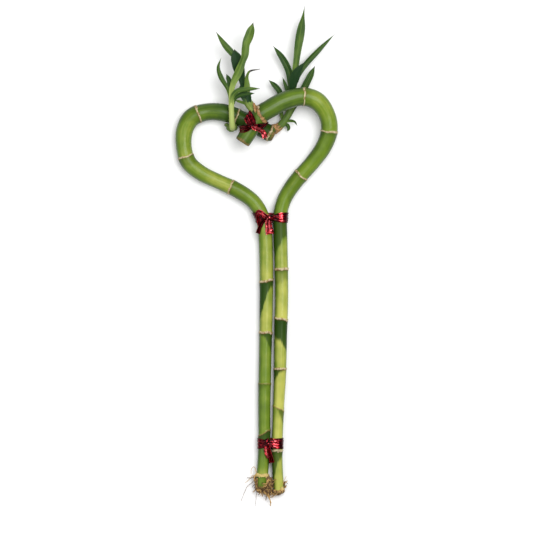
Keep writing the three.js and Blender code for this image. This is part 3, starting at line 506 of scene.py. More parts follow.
class Route:
    """Centripetal curve through points in millimetres, measured in metres along its length."""

    STEPS = 24            # samples between two points, to measure its length
    FRAME_STEP = 0.004    # share of its length that a tangent spans on each side

    def __init__(self, points):
        self.points = [Vector(point) * MM for point in points]
        self.count = len(points) - 1
        self.samples = [self.at(step / self.STEPS) for step in range(self.count * self.STEPS + 1)]
        self.marks = [0.0]
        for before, after in zip(self.samples, self.samples[1:]):
            self.marks.append(self.marks[-1] + (after - before).length)
        self.length = self.marks[-1]

    def at(self, place):
        """Point at a place counted in points from the first."""
        low = min(int(clamp(place, 0, self.count)), self.count - 1)
        start, end = self.points[low], self.points[low + 1]
        before = self.points[low - 1] if low else start * 2 - end
        after = self.points[low + 2] if low + 2 <= self.count else end * 2 - start
        spans = [math.sqrt((b - a).length) for a, b in ((before, start), (start, end), (end, after))]
        slope_in = ((start - before) / spans[0] - (end - before) / (spans[0] + spans[1])
                    + (end - start) / spans[1]) * spans[1]
        slope_out = ((end - start) / spans[1] - (after - start) / (spans[1] + spans[2])
                     + (after - end) / spans[2]) * spans[1]
        share = place - low
        return (start + slope_in * share + ((end - start) * 3 - slope_in * 2 - slope_out) * share**2
                + ((start - end) * 2 + slope_in + slope_out) * share**3)

    def place(self, distance):
        """Place counted in points at a distance along the curve."""
        distance = clamp(distance, 0, self.length)
        low, high = 0, len(self.marks) - 1
        while high - low > 1:
            middle = (low + high) // 2
            low, high = (middle, high) if self.marks[middle] <= distance else (low, middle)
        share = (distance - self.marks[low]) / max(self.marks[high] - self.marks[low], 1e-12)
        return (low + share) / self.STEPS

    def point(self, share):
        return self.at(self.place(share * self.length))

    def frame(self, share, turn=0.0):
        """Point, tangent, sideways and outward directions at a share of the length."""
        ahead, behind = min(share + self.FRAME_STEP, 1), max(share - self.FRAME_STEP, 0)
        tangent = (self.point(ahead) - self.point(behind)).normalized()
        side = UP.cross(tangent).normalized()
        side.rotate(Matrix.Rotation(math.radians(turn), 3, tangent))
        return self.point(share), tangent, side, tangent.cross(side)


# ---- shared mesh work ----------------------------------------------------------------------

JOIN = 1e-6               # corners this close together are one, in metres
LOWEST = 0.02 * MM        # nothing hangs lower over the table


def surface(bm, across, rows, place):
    """Adds a grid and moves each corner to place(corner, u, v), with u and v from 0 to 1."""
    corners = bmesh.ops.create_grid(bm, x_segments=across, y_segments=rows, size=0.5)["verts"]
    for corner in corners:
        corner.co = place(corner, corner.co.x + 0.5, corner.co.y + 0.5)
    return corners


def sleeve(bm, across, rows, place):
    """A surface whose first and last columns are joined."""
    corners = surface(bm, across, rows, place)
    bmesh.ops.remove_doubles(bm, verts=corners, dist=JOIN)
    return [corner for corner in corners if corner.is_valid]


def tube(bm, across, rows, place):
    """A sleeve with its ends filled."""
    corners = sleeve(bm, across, rows, place)
    rims = {edge for corner in corners for edge in corner.link_edges if edge.is_boundary}
    bmesh.ops.holes_fill(bm, edges=list(rims), sides=0)


def thicken(bm, corners, thickness):
    """Gives a sheet its thickness: a copy stays in place and the sheet moves off it."""
    faces = {face for corner in corners for face in corner.link_faces}
    bm.normal_update()
    bmesh.ops.extrude_face_region(bm, geom=list(faces), use_keep_orig=True)
    for corner in corners:
        corner.co += corner.normal * thickness


def float_layers(bm, names):
    return {name: bm.verts.layers.float.new(name) for name in names}


def add_object(name, data):
    made = bpy.data.objects.new(name, data)
    bpy.context.scene.collection.objects.link(made)
    return made


def add_mesh(bm, name, material):
    mesh = bpy.data.meshes.new(name)
    bm.to_mesh(mesh)
    bm.free()
    mesh.materials.append(material)
    return add_object(name, mesh)


def finish_piece(bm, node, material, smooth=60):
    """Makes the mesh a piece that rides on the part and stands for its CAD node.

    Edges of less than smooth degrees are rounded off.
    """
    bmesh.ops.recalc_face_normals(bm, faces=bm.faces)
    for face in bm.faces:
        face.smooth = True
    for edge in bm.edges:
        edge.smooth = edge.calc_face_angle(0) < math.radians(smooth)
    for corner in bm.verts:
        corner.co.z = max(corner.co.z, LOWEST)
    piece = add_mesh(bm, node.replace("_", "-"), material)
    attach(piece, "root")
    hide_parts(node)


# ---- shader work -----------------------------------------------------------------------------


class Value:
    """One output of a shader node. Sums of values add their Math nodes."""

    def __init__(self, paint, socket):
        self.paint = paint
        self.socket = socket

    def math(self, operation, *values):
        return self.paint.node("ShaderNodeMath", {"operation": operation}, dict(enumerate(values)))

    def __add__(self, other):
        return self.math("ADD", self, other)

    __radd__ = __add__

    def __sub__(self, other):
        return self.math("SUBTRACT", self, other)

    def __rsub__(self, other):
        return self.math("SUBTRACT", other, self)

    def __mul__(self, other):
        return self.math("MULTIPLY", self, other)

    __rmul__ = __mul__

    def __truediv__(self, other):
        return self.math("DIVIDE", self, other)

    def __abs__(self):
        return self.math("ABSOLUTE", self)

    def step(self, low, high):
        """0 where this is below low, 1 above high and smooth between."""
        return self.paint.node(
            "ShaderNodeMapRange", {"interpolation_type": "SMOOTHSTEP"},
            {"Value": self, "From Min": low, "From Max": high},
        )


class Paint:
    """A procedural material on a principled shader."""

    def __init__(self, name, **constants):
        self.material = bpy.data.materials.new(name)
        self.material.use_nodes = True
        self.tree = self.material.node_tree
        self.shader = self.tree.nodes["Principled BSDF"]
        for socket, value in constants.items():
            self.feed(self.shader, socket.replace("_", " "), value)

    def feed(self, node, key, value):
        """Sets or links one input of a node, named by its identifier or its number."""
        socket = node.inputs[key] if isinstance(key, int) else next(
            socket for socket in node.inputs if socket.identifier == key)
        if isinstance(value, Value):
            self.tree.links.new(value.socket, socket)
        elif socket.type == "RGBA":
            socket.default_value = (*tuple(value)[:3], 1)
        else:
            socket.default_value = value

    def node(self, kind, settings=None, inputs=None, output=0):
        """Adds a node: its settings first, then the values or links of its inputs."""
        made = self.tree.nodes.new(kind)
        for key, value in (settings or {}).items():
            setattr(made, key, value)
        for key, value in (inputs or {}).items():
            self.feed(made, key, value)
        socket = made.outputs[output] if isinstance(output, int) else next(
            socket for socket in made.outputs if socket.identifier == output)
        return Value(self, socket)

    def attribute(self, name, output="Fac"):
        return self.node("ShaderNodeAttribute", {"attribute_name": name}, output=output)

    def attributes(self, *names):
        return [self.attribute(name) for name in names]

    def place(self):
        return self.node("ShaderNodeTexCoord", output="Object")

    def scaled(self, vector, factors):
        return self.node("ShaderNodeVectorMath", {"operation": "MULTIPLY"}, {0: vector, 1: factors})

    def noise(self, vector, scale, detail, squeeze=None):
        """Noise from 0 to 1 at about scale bumps a metre, drawn out where squeeze is below 1."""
        return self.node("ShaderNodeTexNoise", None, {
            "Vector": self.scaled(vector, squeeze) if squeeze else vector,
            "Scale": scale, "Detail": detail, "Roughness": 0.55})

    def cells(self, vector, scale):
        """Distance from the nearest of many scattered points, in cells."""
        return self.node("ShaderNodeTexVoronoi", None, {"Vector": vector, "Scale": scale})

    def blend(self, factor, low, high):
        """Colour from low to high by a factor from 0 to 1."""
        return self.node("ShaderNodeMix", {"data_type": "RGBA"}, {
            "Factor_Float": factor, "A_Color": low, "B_Color": high}, "Result_Color")

    def finish(self, colour, roughness, height, depth, others=None):
        """Links colour, roughness and a bump of the given depth in metres."""
        bump = self.node("ShaderNodeBump", None, {"Height": height, "Distance": depth, "Strength": 1})
        made = {"Base Color": colour, "Roughness": roughness, "Normal": bump, **(others or {})}
        for socket, value in made.items():
            self.feed(self.shader, socket, value)
        return self.material


CANE_LAYERS = ("ring", "tan", "light_side", "sheath_mark", "mark_depth", "paleness", "cut", "bud")
LEAF_LAYERS = ("reach", "paleness", "stem")
FOIL_LAYERS = ("fold", "dull", "glint")
RING_HALF = 0.65 * MM     # half width of a tan ring where it is fully tan
RING_FADE = 0.55 * MM     # and of its soft edge


def cane_skin(looks):
    """Waxy green skin with sheath marks, scar rings, buds and cut ends, and painted shade on the
    sides that turn from the light.
    """
    paint = Paint("cane_skin", Specular_IOR_Level=0.1, Coat_Roughness=0.24)
    grain = paint.attribute("grain", "Vector")
    ring, tan_share, light_side, inside, darkness, paleness, cut, bud = paint.attributes(*CANE_LAYERS)
    clouds = paint.noise(grain, 70, 2)
    blotches = paint.noise(grain, 240, 3, (1, 1, 0.35))
    lines = paint.noise(grain, 900, 2, (1, 1, 0.045))
    fine = paint.noise(grain, 2600, 2, (1, 1, 0.1))

    # green, with painted shade darkening it towards the sides that turn from the painted light
    tone = paleness + (clouds - 0.5) * 0.5 + (lines - 0.5) * 0.3 + (blotches - 0.5) * 0.25
    painted_limb_shade = 1 - light_side.step(0.1, 0.97)
    tone = tone - painted_limb_shade * 0.3
    green = paint.blend(tone.step(-0.05, 0.5), looks.deep_green_and_shade, looks.fresh)
    green = paint.blend(tone.step(0.4, 1.05), green, looks.pale)
    green = paint.blend(painted_limb_shade * 0.45, green, looks.deep_green_and_shade)

    # dark marks of the fallen leaf bases, a shadow under each ring, and freckles
    edge = inside + (lines - 0.5) * (9 * MM) + (blotches - 0.5) * (4 * MM)
    # the marks are painted paler on the side that faces the painted light, and fade more near their
    # lower edge
    fade_and_painted_light = (lines * 0.5 + light_side * 0.4).step(0.3, 1.1)
    fade_and_painted_light = fade_and_painted_light * (0.7 - inside.step(2 * MM, 16 * MM) * 0.5)
    mark = paint.blend(fade_and_painted_light, looks.mark, paint.blend(0.4, looks.deep_green_and_shade, looks.fresh))
    shaded = edge.step(-2.6 * MM, 2.2 * MM) * darkness
    green = paint.blend(shaded, green, mark)
    under = ring.step(-5.0 * MM, -0.8 * MM) * (1 - ring.step(-0.8 * MM, 0.0))
    green = paint.blend(under * tan_share * 0.3, green, looks.mark)
    freckles = 1 - paint.cells(paint.scaled(grain, (1, 1, 0.6)), 260).step(0.04, 0.1)
    green = paint.blend(freckles * clouds.step(0.5, 0.62) * 0.6, green, looks.bark)

    # scar rings with a rusty line below, and buds
    wander = (paint.noise(grain, 420, 2) - 0.5) * (1.3 * MM)
    off_ring = abs(ring + wander) - tan_share * RING_HALF
    band = (1 - off_ring.step(0.0, RING_FADE)) * tan_share.step(0.0, 0.6)
    tan = paint.blend(paint.noise(grain, 520, 2).step(0.42, 0.66), looks.scar, looks.rim)
    tan = paint.blend(tan_share.step(0.42, 0.5), looks.rim, tan)
    skin = paint.blend(band * 0.9, green, tan)
    rust = (1 - abs(ring + 1.2 * MM + wander).step(0.15 * MM, 0.6 * MM)) * tan_share
    skin = paint.blend(rust * clouds.step(0.38, 0.6) * 0.75, skin, looks.bark)
    skin = paint.blend(bud.step(0.25, 0.5), skin, paint.blend(fine, looks.bark, looks.scar))

    # cut ends and the weathered skin beside them
    fibres = paint.noise(grain, 1500, 3)
    face = paint.blend(fibres.step(0.3, 0.7), looks.scar, looks.fresh)
    olive = paint.blend(fine.step(0.3, 0.7), looks.deep_green_and_shade, looks.rim)
    bark = paint.blend(blotches.step(0.36, 0.56), looks.bark, olive)
    face = paint.blend(1 - cut.step(0.5, 0.85), face, bark)
    skin = paint.blend((cut + (blotches - 0.5) * 0.7).step(0.22, 0.4), skin, face)

    roughness = 0.38 + (clouds - 0.5) * 0.16 + band * 0.25 + cut.step(0.2, 0.4) * 0.3
    height = lines * 0.5 + fine * 0.25 + clouds * 0.6 + fibres * cut.step(0.3, 0.6) * 2
    return paint.finish(skin, roughness, height, 0.09 * MM, {"Coat Weight": 0.25 - shaded * 0.21})


def leaf_skin(looks):
    """Leaf green with a pale midrib, parallel veins and a dry tip; stems are paler."""
    paint = Paint("leaf_skin", Specular_IOR_Level=0.12)
    blade = paint.attribute("blade", "Vector")
    across = paint.node("ShaderNodeSeparateXYZ", None, {"Vector": blade}, 0)
    reach, paleness, stem = paint.attributes(*LEAF_LAYERS)
    veins = paint.noise(blade, 1900, 2, (1, 0.02, 1))
    ribs = paint.noise(blade, 5200, 1, (1, 0.01, 1))
    clouds = paint.noise(blade, 120, 2)
    streaks = paint.noise(blade, 650, 2, (1, 0.06, 1))
    tone = paleness + (clouds - 0.5) * 0.5 + (veins - 0.5) * 0.8 + (streaks - 0.5) * 0.9
    green = paint.blend(tone.step(-0.3, 0.15), looks.leaf_dark_and_shade, looks.middle)
    green = paint.blend(tone.step(0.1, 0.95), green, looks.light)
    midrib = 1 - abs(across).step(0.12 * MM, 0.5 * MM)
    green = paint.blend(midrib * paleness.step(-0.4, 0.3) * 0.45, green, looks.light)
    green = paint.blend(reach.step(0.96, 1.02) * (1 - stem), green, looks.tip)
    soft = paint.blend((tone * 1.1 + (ribs - 0.5) * 0.8).step(0, 0.9), looks.light, looks.stem)
    skin = paint.blend(stem * paleness.step(0.0, 0.7), green, soft)
    height = ribs * 0.5 + veins * 0.6 - midrib * 0.8
    return paint.finish(skin, 0.45 + (veins - 0.5) * 0.15, height, 0.12 * MM)


def red_foil(looks):
    """Metallised red foil, with painted shade in its folds and on ribbons turned from the light, and
    painted highlights with a glossy coat where it glints.
    """
    paint = Paint("red_foil", Coat_Roughness=0.1, Coat_IOR=1.8)
    place = paint.place()
    fold, dull, glint = paint.attributes(*FOIL_LAYERS)
    creases = paint.cells(place, 420)
    crackle = paint.noise(place, 560, 3)
    # painted shade, darker in the folds and creases and lighter where the foil is painted as lit
    shade = fold + (crackle - 0.5) * 0.7
    skin = paint.blend(shade.step(0.22, 0.95), looks.shade, looks.red)
    # painted highlight: brighter red where the foil glints
    skin = paint.blend(glint * shade.step(0.3, 0.9), skin, looks.bright)
    # painted shade: ribbons turned from the light are painted maroon
    skin = paint.blend(dull, skin, looks.maroon)
    height = (creases * 0.8 + crackle * 0.6) * (1 - dull * 0.7) * (1 - glint * 0.5)
    return paint.finish(skin, 0.22 + (crackle - 0.5) * 0.14 + dull * 0.06, height, 0.28 * MM,
                        {"Metallic": 1.0, "Coat Weight": 0.05 + glint * shade.step(0.5, 1.0) * 0.95})


def root_skin(looks):
    """Root skin from cream over straw to brown, with a gritty bump."""
    paint = Paint("root_skin")
    place = paint.place()
    age = paint.attribute("age")
    blotches = paint.noise(place, 420, 3)
    grit = paint.noise(place, 2400, 3)
    skin = paint.blend((age + (blotches - 0.5) * 0.9).step(0.1, 0.9), looks.straw, looks.brown)
    skin = paint.blend((0.4 - age - blotches).step(0.0, 0.5), skin, looks.cream)
    return paint.finish(skin, 0.78 + (grit - 0.5) * 0.2, grit + blotches, 0.3 * MM)


def dry_sheath(looks):
    """Papery straw with rusty fibres along it."""
    paint = Paint("dry_sheath")
    blade = paint.attribute("blade", "Vector")
    fibres = paint.noise(blade, 2600, 2, (1, 0.06, 1))
    blotches = paint.noise(blade, 380, 3)
    rust = (blotches * 0.7 + fibres * 0.6).step(0.5, 0.78)
    skin = paint.blend(rust, looks.straw, looks.rust)
    return paint.finish(skin, 0.7 + (fibres - 0.5) * 0.2, fibres, 0.25 * MM)


def studio_paper(looks):
    """Matte white paper with the faintest tooth."""
    paint = Paint("studio_paper")
    place = paint.place()
    tooth = paint.noise(place, 900, 2)
    skin = paint.blend(tooth * 0.04, looks.paper, (0.8, 0.8, 0.8))
    return paint.finish(skin, 0.9, tooth, 0.02 * MM)


# ---- canes -----------------------------------------------------------------------------------


class Cane:
    """A bent round rod with leaf-scar rings, in metres."""

    SEARCH_STEPS = 1500
    SCAR_REACH = 4.5 * MM     # near a scar the rings of faces lie close together
    SCAR_SPACING = 0.16       # share of the usual distance

    def __init__(self, plan):
        self.route = Route([(x, y, 0) for x, y, *_ in plan.route])
        self.length = self.route.length
        self.girths = [row[2] * MM for row in plan.route]
        self.lifts = [(row[3] if len(row) > 3 else TIE_LIFT) * MM for row in plan.route]
        self.scars = [(self.nearest(x, y), math.tan(math.radians(tilt)), tan)
                      for x, y, tilt, tan in plan.scars]
        self.end_round, self.weathered = plan.end_round * MM, plan.weathered * MM
        self.internodes = plan.internodes
        self.buds = plan.buds

    def nearest(self, x, y):
        """Distance along the cane of the axis point nearest to a place, in millimetres, in plan."""
        spot = Vector((x, y, 0)) * MM
        return min((self.length * step / self.SEARCH_STEPS for step in range(self.SEARCH_STEPS + 1)),
                   key=lambda distance: (self.route.at(self.route.place(distance)) - spot).length)

    def centre(self, distance):
        place = self.route.place(distance)
        point = self.route.at(place)
        point.z = smooth_between(self.girths, place) + smooth_between(self.lifts, place)
        return point

    @lru_cache(maxsize=None)
    def frame(self, distance):
        step = 0.5 * MM
        tangent = (self.centre(distance + step) - self.centre(distance - step)).normalized()
        side = UP.cross(tangent).normalized()
        return self.centre(distance), tangent, side, tangent.cross(side)

    @lru_cache(maxsize=None)
    def girth(self, distance):
        end = min(distance, self.length - distance) / self.end_round
        rounding = self.end_round * 0.6 * (1 - math.sqrt(1 - clamp(1 - end) ** 2))
        return smooth_between(self.girths, self.route.place(distance)) - rounding

    @lru_cache(maxsize=None)
    def rings_at(self, distance, angle):
        """How far along the cane each scar ring lies here: it leans and wanders round the cane."""
        across = math.cos(angle) * self.girth(distance)
        places = []
        for index, (scar, lean, _) in enumerate(self.scars):
            spot = ring_spot(angle, 1, index * 3.1)
            wander = 0.8 * noise.noise(spot * 1.6) + 0.5 * noise.noise(spot * 4)
            places.append(scar + lean * across + wander * MM)
        return places

    def ring_offset(self, distance, angle):
        """Signed distance from the nearest scar ring and how tan it is."""
        places = self.rings_at(distance, angle)
        offsets = [(distance - place, tan) for place, (_, _, tan) in zip(places, self.scars)]
        return min(offsets, key=lambda pair: abs(pair[0]))

    def bud(self, distance, angle):
        """Height share of the small pointed buds that sit on some of the scars."""
        height = 0.0
        for scar, degrees, size in self.buds:
            size *= MM
            up = distance - self.scars[scar][0] + size * 0.35
            turn = (angle - math.radians(degrees) + math.pi) % (2 * math.pi) - math.pi
            half = size * 0.42 * clamp((size - up) / size)
            if -0.25 * size < up < size and half > 0:
                height = max(height, 1 - abs(turn * self.girth(distance)) / half)
        return clamp(height)

    def radius(self, distance, angle):
        offset, tan = self.ring_offset(distance, angle)
        swelling = 0.3 * bump_at(offset, (3.2 if offset < 0 else 1.3) * MM)
        swelling += 0.3 * tan * bump_at(offset, 0.7 * MM)
        swelling -= 0.14 * bump_at(offset - 1.5 * MM, 0.45 * MM)
        swelling += 0.3 * self.bud(distance, angle) ** 0.7
        swelling += 0.09 * noise.noise(ring_spot(angle, 1, distance * 55))
        return self.girth(distance) + swelling * MM

    def skin(self, distance, angle, lift=0.0):
        """Point on the skin, or lift over it."""
        centre, _, side, up = self.frame(distance)
        return centre + to_rim(side, up, angle, self.radius(distance, angle) + lift)

    def stations(self, spacing):
        """Places of the rings of faces: close together by the scars and the ends."""
        depths = [self.end_round * share for share in (0, 0.03, 0.1, 0.22, 0.4, 0.65, 1)]
        marks = {*depths, *(self.length - depth for depth in depths)}
        distance = self.end_round * 1.3
        while distance < self.length - self.end_round * 1.3:
            marks.add(distance)
            near = min(abs(distance - scar) for scar, _, _ in self.scars)
            distance += spacing if near > self.SCAR_REACH else spacing * self.SCAR_SPACING
        return sorted(marks)

    def internode(self, distance, angle):
        """Both ends of the internode at a place on the skin, and its looks."""
        places = self.rings_at(distance, angle)
        index = sum(distance > place for place in places)
        ends = [0.0, *places, self.length]
        return ends[index], ends[index + 1], self.internodes[index]


GRAIN_RADIUS = 6 * MM     # of the straight rod that the skin's patterns are drawn on
RING_REACH = 6 * MM       # farther off, ring distances are made too large to blend into a ring
FAR = 200
CUTS = ((0.5 * MM, 0.6), (1.4 * MM, 1.0))   # rims in a cut end: depth, how much they count as cut
CANES = {}                # by name: the other pieces are fitted to them


def grow_cane(name, plan, looks, material):
    """One cane as a closed tube with its skin's marks stored on its corners."""
    cane = CANES[name] = Cane(plan)
    bm = bmesh.new()
    grain = bm.verts.layers.float_vector.new("grain")
    layers = float_layers(bm, CANE_LAYERS)
    stations = cane.stations(looks.spacing)

    def place(corner, u, v):
        distance = stations[round(v * (len(stations) - 1))]
        angle = 2 * math.pi * u
        low, high, (pale_low, pale_high, mean, more, toward, depth) = cane.internode(distance, angle)
        offset, tan = cane.ring_offset(distance, angle)
        facing = 0.5 + 0.5 * math.cos(angle - math.radians(toward))
        reach = (mean + more * (2 * facing**1.7 - 1)) * MM
        lean = clamp((distance - low) / (high - low))
        corner[grain] = ring_spot(angle, GRAIN_RADIUS, distance)
        corner[layers["ring"]] = offset if abs(offset) < RING_REACH else offset * FAR
        corner[layers["tan"]] = tan
        corner[layers["sheath_mark"]] = reach - (high - distance)
        corner[layers["mark_depth"]] = depth
        corner[layers["paleness"]] = lerp(pale_low, pale_high, lean)
        corner[layers["bud"]] = cane.bud(distance, angle)
        rim = min(distance, cane.length - distance)
        corner[layers["cut"]] = 0.42 * (1 - ease(rim, 0, cane.weathered))
        _, _, side, up = cane.frame(distance)
        # how far the skin faces the painted light, for the painted shade on the cane's sides
        corner[layers["light_side"]] = to_rim(side, up, angle, 1).dot(PAINTED_LIGHT_WAY)
        return cane.skin(distance, angle)

    tube(bm, looks.sides, len(stations) - 1, place)
    ends = [face for face in bm.faces if len(face.verts) > 4]
    for depth, share in CUTS:
        bmesh.ops.inset_individual(bm, faces=ends, thickness=depth, depth=-0.05 * MM)
        for face in ends:
            for corner in face.verts:
                corner[layers["cut"]] = share
    for corner in bmesh.ops.poke(bm, faces=ends)["verts"]:
        corner[layers["cut"]] = 1
    finish_piece(bm, name, material)


# ---- shoots ----------------------------------------------------------------------------------

LEAF_FOLD = 0.34          # rise of a leaf's edges over its midrib, per unit of half width
LEAF_ROW = 1.6 * MM       # distance between a leaf's rows of faces
LEAF_COLUMNS = 10
STEM_GRID = (28, 70)      # faces round a stem and along it


def grow_leaf(bm, leaf, layers, thickness, number):
    """A folded, twisting blade with a soft wave along its edges."""
    route = Route(leaf.points)
    rows = max(16, int(route.length / LEAF_ROW))

    def place(corner, u, v):
        point, _, side, face = route.frame(v, along(leaf.twist, v))
        half = leaf.width / 2 * MM * max(along(leaf.shape, v), 0.01)
        across = 2 * u - 1
        wave = 0.05 * math.sin(v * 19 + number * 2) * across * abs(across)
        rise = LEAF_FOLD * (abs(across) ** 1.25 - 0.3 * across**4) + wave
        corner[layers["blade"]] = (across * half, v * route.length, number * 0.02)
        corner[layers["reach"]] = v + leaf.dry * v
        corner[layers["paleness"]] = leaf.pale + 0.5 * (1 - ease(v, 0.05, leaf.fade))
        corner[layers["stem"]] = 0.8 * (1 - ease(v, 0.04, 0.4)) * ease(leaf.pale, 0, 0.5)
        return point + side * (across * half) + face * (rise * half)

    thicken(bm, surface(bm, LEAF_COLUMNS, rows, place), thickness)


def grow_stem(bm, shoot, layers):
    """The soft stem of a shoot, ringed where its leaf bases clasp it."""
    route = Route(shoot.stem)

    def place(corner, u, v):
        point, _, side, face = route.frame(v)
        angle = 2 * math.pi * u
        clasp = 0.06 * (v * 7 % 1) + 0.02 * noise.noise(ring_spot(angle, 1, v * 9))
        radius = along(shoot.radii, v) * MM * (0.95 + clasp)
        corner[layers["blade"]] = (angle * 0.8 * MM, v * route.length, 0)
        corner[layers["stem"]] = 1
        corner[layers["paleness"]] = lerp(shoot.paleness, shoot.top, v)
        return point + to_rim(side, face, angle, radius)

    tube(bm, *STEM_GRID, place)


def grow_knob(bm, centre, radii, layers, paleness):
    """One lump of the swollen foot where a shoot left its cane."""
    shape = Matrix.LocRotScale(Vector(centre) * MM, None, Vector(radii) * MM)
    corners = bmesh.ops.create_uvsphere(
        bm, u_segments=32, v_segments=20, radius=1, matrix=shape)["verts"]
    for corner in corners:
        place = corner.co.copy()
        corner.co += Vector((0, 0, 0.4 * MM * noise.noise(place * 300)))
        corner.co += (corner.co - shape.translation) * 0.10 * noise.noise(place * 420)
        corner[layers["blade"]] = place
        corner[layers["stem"]] = 1
        corner[layers["paleness"]] = paleness * 0.3


def grow_shoot(name, shoot, looks, material):
    bm = bmesh.new()
    layers = float_layers(bm, LEAF_LAYERS)
    layers["blade"] = bm.verts.layers.float_vector.new("blade")
    for number, leaf in enumerate(shoot.leaves):
        grow_leaf(bm, leaf, layers, looks.thickness, number)
    grow_stem(bm, shoot, layers)
    for centre, radii in shoot.knobs:
        grow_knob(bm, centre, radii, layers, shoot.paleness)
    finish_piece(bm, name, material)


# ---- foil ties -------------------------------------------------------------------------------

BAND_GAP = 0.5 * MM       # air between a cane and the foil round it
BAND_STEPS = 150
BAND_ROWS = 16
BAND_REACH = 0.8 * MM     # how far across the foil a spot on a cane still holds it
TWIST_HEIGHTS = (7, 26)   # between these a loop turns from its lower to its upper heading
NEAR_STEPS = 24           # rings of spots on either side of a tie's middle that can hold its foil
NEAR_STEP = 0.6 * MM      # distance between them
NEAR_SIDES = 48           # spots in a ring
RIBBON_ROW = 0.45 * MM    # distance between a ribbon's rows of faces
KNOT_REACH = 5.5 * MM     # how far along the loop the knot gathers it
OUTWARD_STEP = 0.004      # share of the loop from a spot to both neighbours that tell its outside


def heading_at(tie, height):
    """Heading of a tie's loop, in radians, at a height in metres."""
    return math.radians(lerp(*tie.heading, ease(height, *(level * MM for level in TWIST_HEIGHTS))))


def skin_near(tie):
    """Points a little over both canes' skins near a tie, with x and z along its loop."""
    middle = Vector((*tie.middle, 0)) * MM
    spots = []
    for cane in CANES.values():
        near = cane.nearest(*tie.middle)
        for step in range(-NEAR_STEPS, NEAR_STEPS + 1):
            distance = clamp(near + step * NEAR_STEP, 0, cane.length)
            for side in range(NEAR_SIDES):
                spot = cane.skin(distance, 2 * math.pi * side / NEAR_SIDES, BAND_GAP) - middle
                spot.rotate(Matrix.Rotation(-heading_at(tie, spot.z), 3, UP))
                spots.append(spot)
    return spots


def hull_of(flat):
    """Corners of the tightest loop round flat points, anticlockwise."""
    flat = sorted(flat, key=lambda spot: tuple(spot))
    loop = []
    for run in (flat, flat[::-1]):
        side = []
        for spot in run:
            while len(side) > 1 and (side[-1] - side[-2]).cross(spot - side[-1]) <= 0:
                side.pop()
            side.append(spot)
        loop += side[:-1]
    return loop


def loop_round(spots, across):
    """The tightest loop round those points at a place across the tie, from its middle below."""
    loop = hull_of([Vector((spot.x, spot.z)) for spot in spots if abs(spot.y - across) < BAND_REACH])
    first = next(index for index in range(len(loop)) if loop[index - 1].x <= 0 < loop[index].x)
    before, after = loop[first - 1], loop[first]
    loop = [before.lerp(after, before.x / (before.x - after.x)), *loop[first:], *loop[:first]]
    lengths = [(after - before).length for before, after in zip(loop, loop[1:] + loop[:1])]
    return loop, lengths, sum(lengths)


def wrap_band(bm, tie, looks, layers, seed):
    """The foil drawn tight round both canes and gathered at the knot."""
    width, offset = tie.width * MM, tie.offset * MM
    middle = Vector((*tie.middle, 0)) * MM
    knot = Vector(tie.knot) * MM - middle
    spots = skin_near(tie)
    loops = [loop_round(spots, offset + width * (row / BAND_ROWS - 0.5))
             for row in range(BAND_ROWS + 1)]

    def spot_on(row, share):
        loop, lengths, total = loops[row]
        left = share % 1 * total
        for index, length_here in enumerate(lengths):
            if left <= length_here:
                return loop[index].lerp(loop[(index + 1) % len(loop)], left / max(length_here, 1e-9))
            left -= length_here
        return loop[0].copy()

    def place(corner, u, v):
        row = round(v * BAND_ROWS)
        spot = spot_on(row, u)
        before, after = spot_on(row, u - OUTWARD_STEP), spot_on(row, u + OUTWARD_STEP)
        out = Vector((after.y - before.y, before.x - after.x)).normalized()
        on_top = ease(spot.y, 8 * MM, 12 * MM)
        gather = 1 - tie.gather * bump_at(spot.x - knot.x, KNOT_REACH) * on_top
        across = offset + width * (v - 0.5) * gather
        curl = ring_spot(2 * math.pi * u, 2.2, v * 3.0 + seed)
        pleat = abs(math.sin(v * math.pi * 3.5 + 1.6 * noise.noise(curl)))
        crease = clamp(0.75 * pleat + 0.6 * noise.noise(curl * 3.1))
        spot = spot + out * (looks.crinkle * crease * (1 if spot.y > 2 * MM else 0.4))
        # painted highlight on the sheens and painted shade in the creases; away from the sheens dull
        # foil is painted maroon, as shade
        sheen = sum(share * bump_at(spot.x - x * MM, reach * MM) for x, reach, share in tie.sheens)
        corner[layers["fold"]] = (0.15 + 0.85 * crease) * lerp(0.5, 1.2, sheen)
        corner[layers["glint"]] = sheen * clamp(crease * 1.4)
        corner[layers["dull"]] = tie.dull * (1 - sheen)
        foil = Vector((spot.x, across, max(spot.y, 0.1 * MM)))
        foil.rotate(Matrix.Rotation(heading_at(tie, foil.z), 3, UP))
        return foil + middle

    thicken(bm, sleeve(bm, BAND_STEPS, BAND_ROWS, place), looks.thickness)


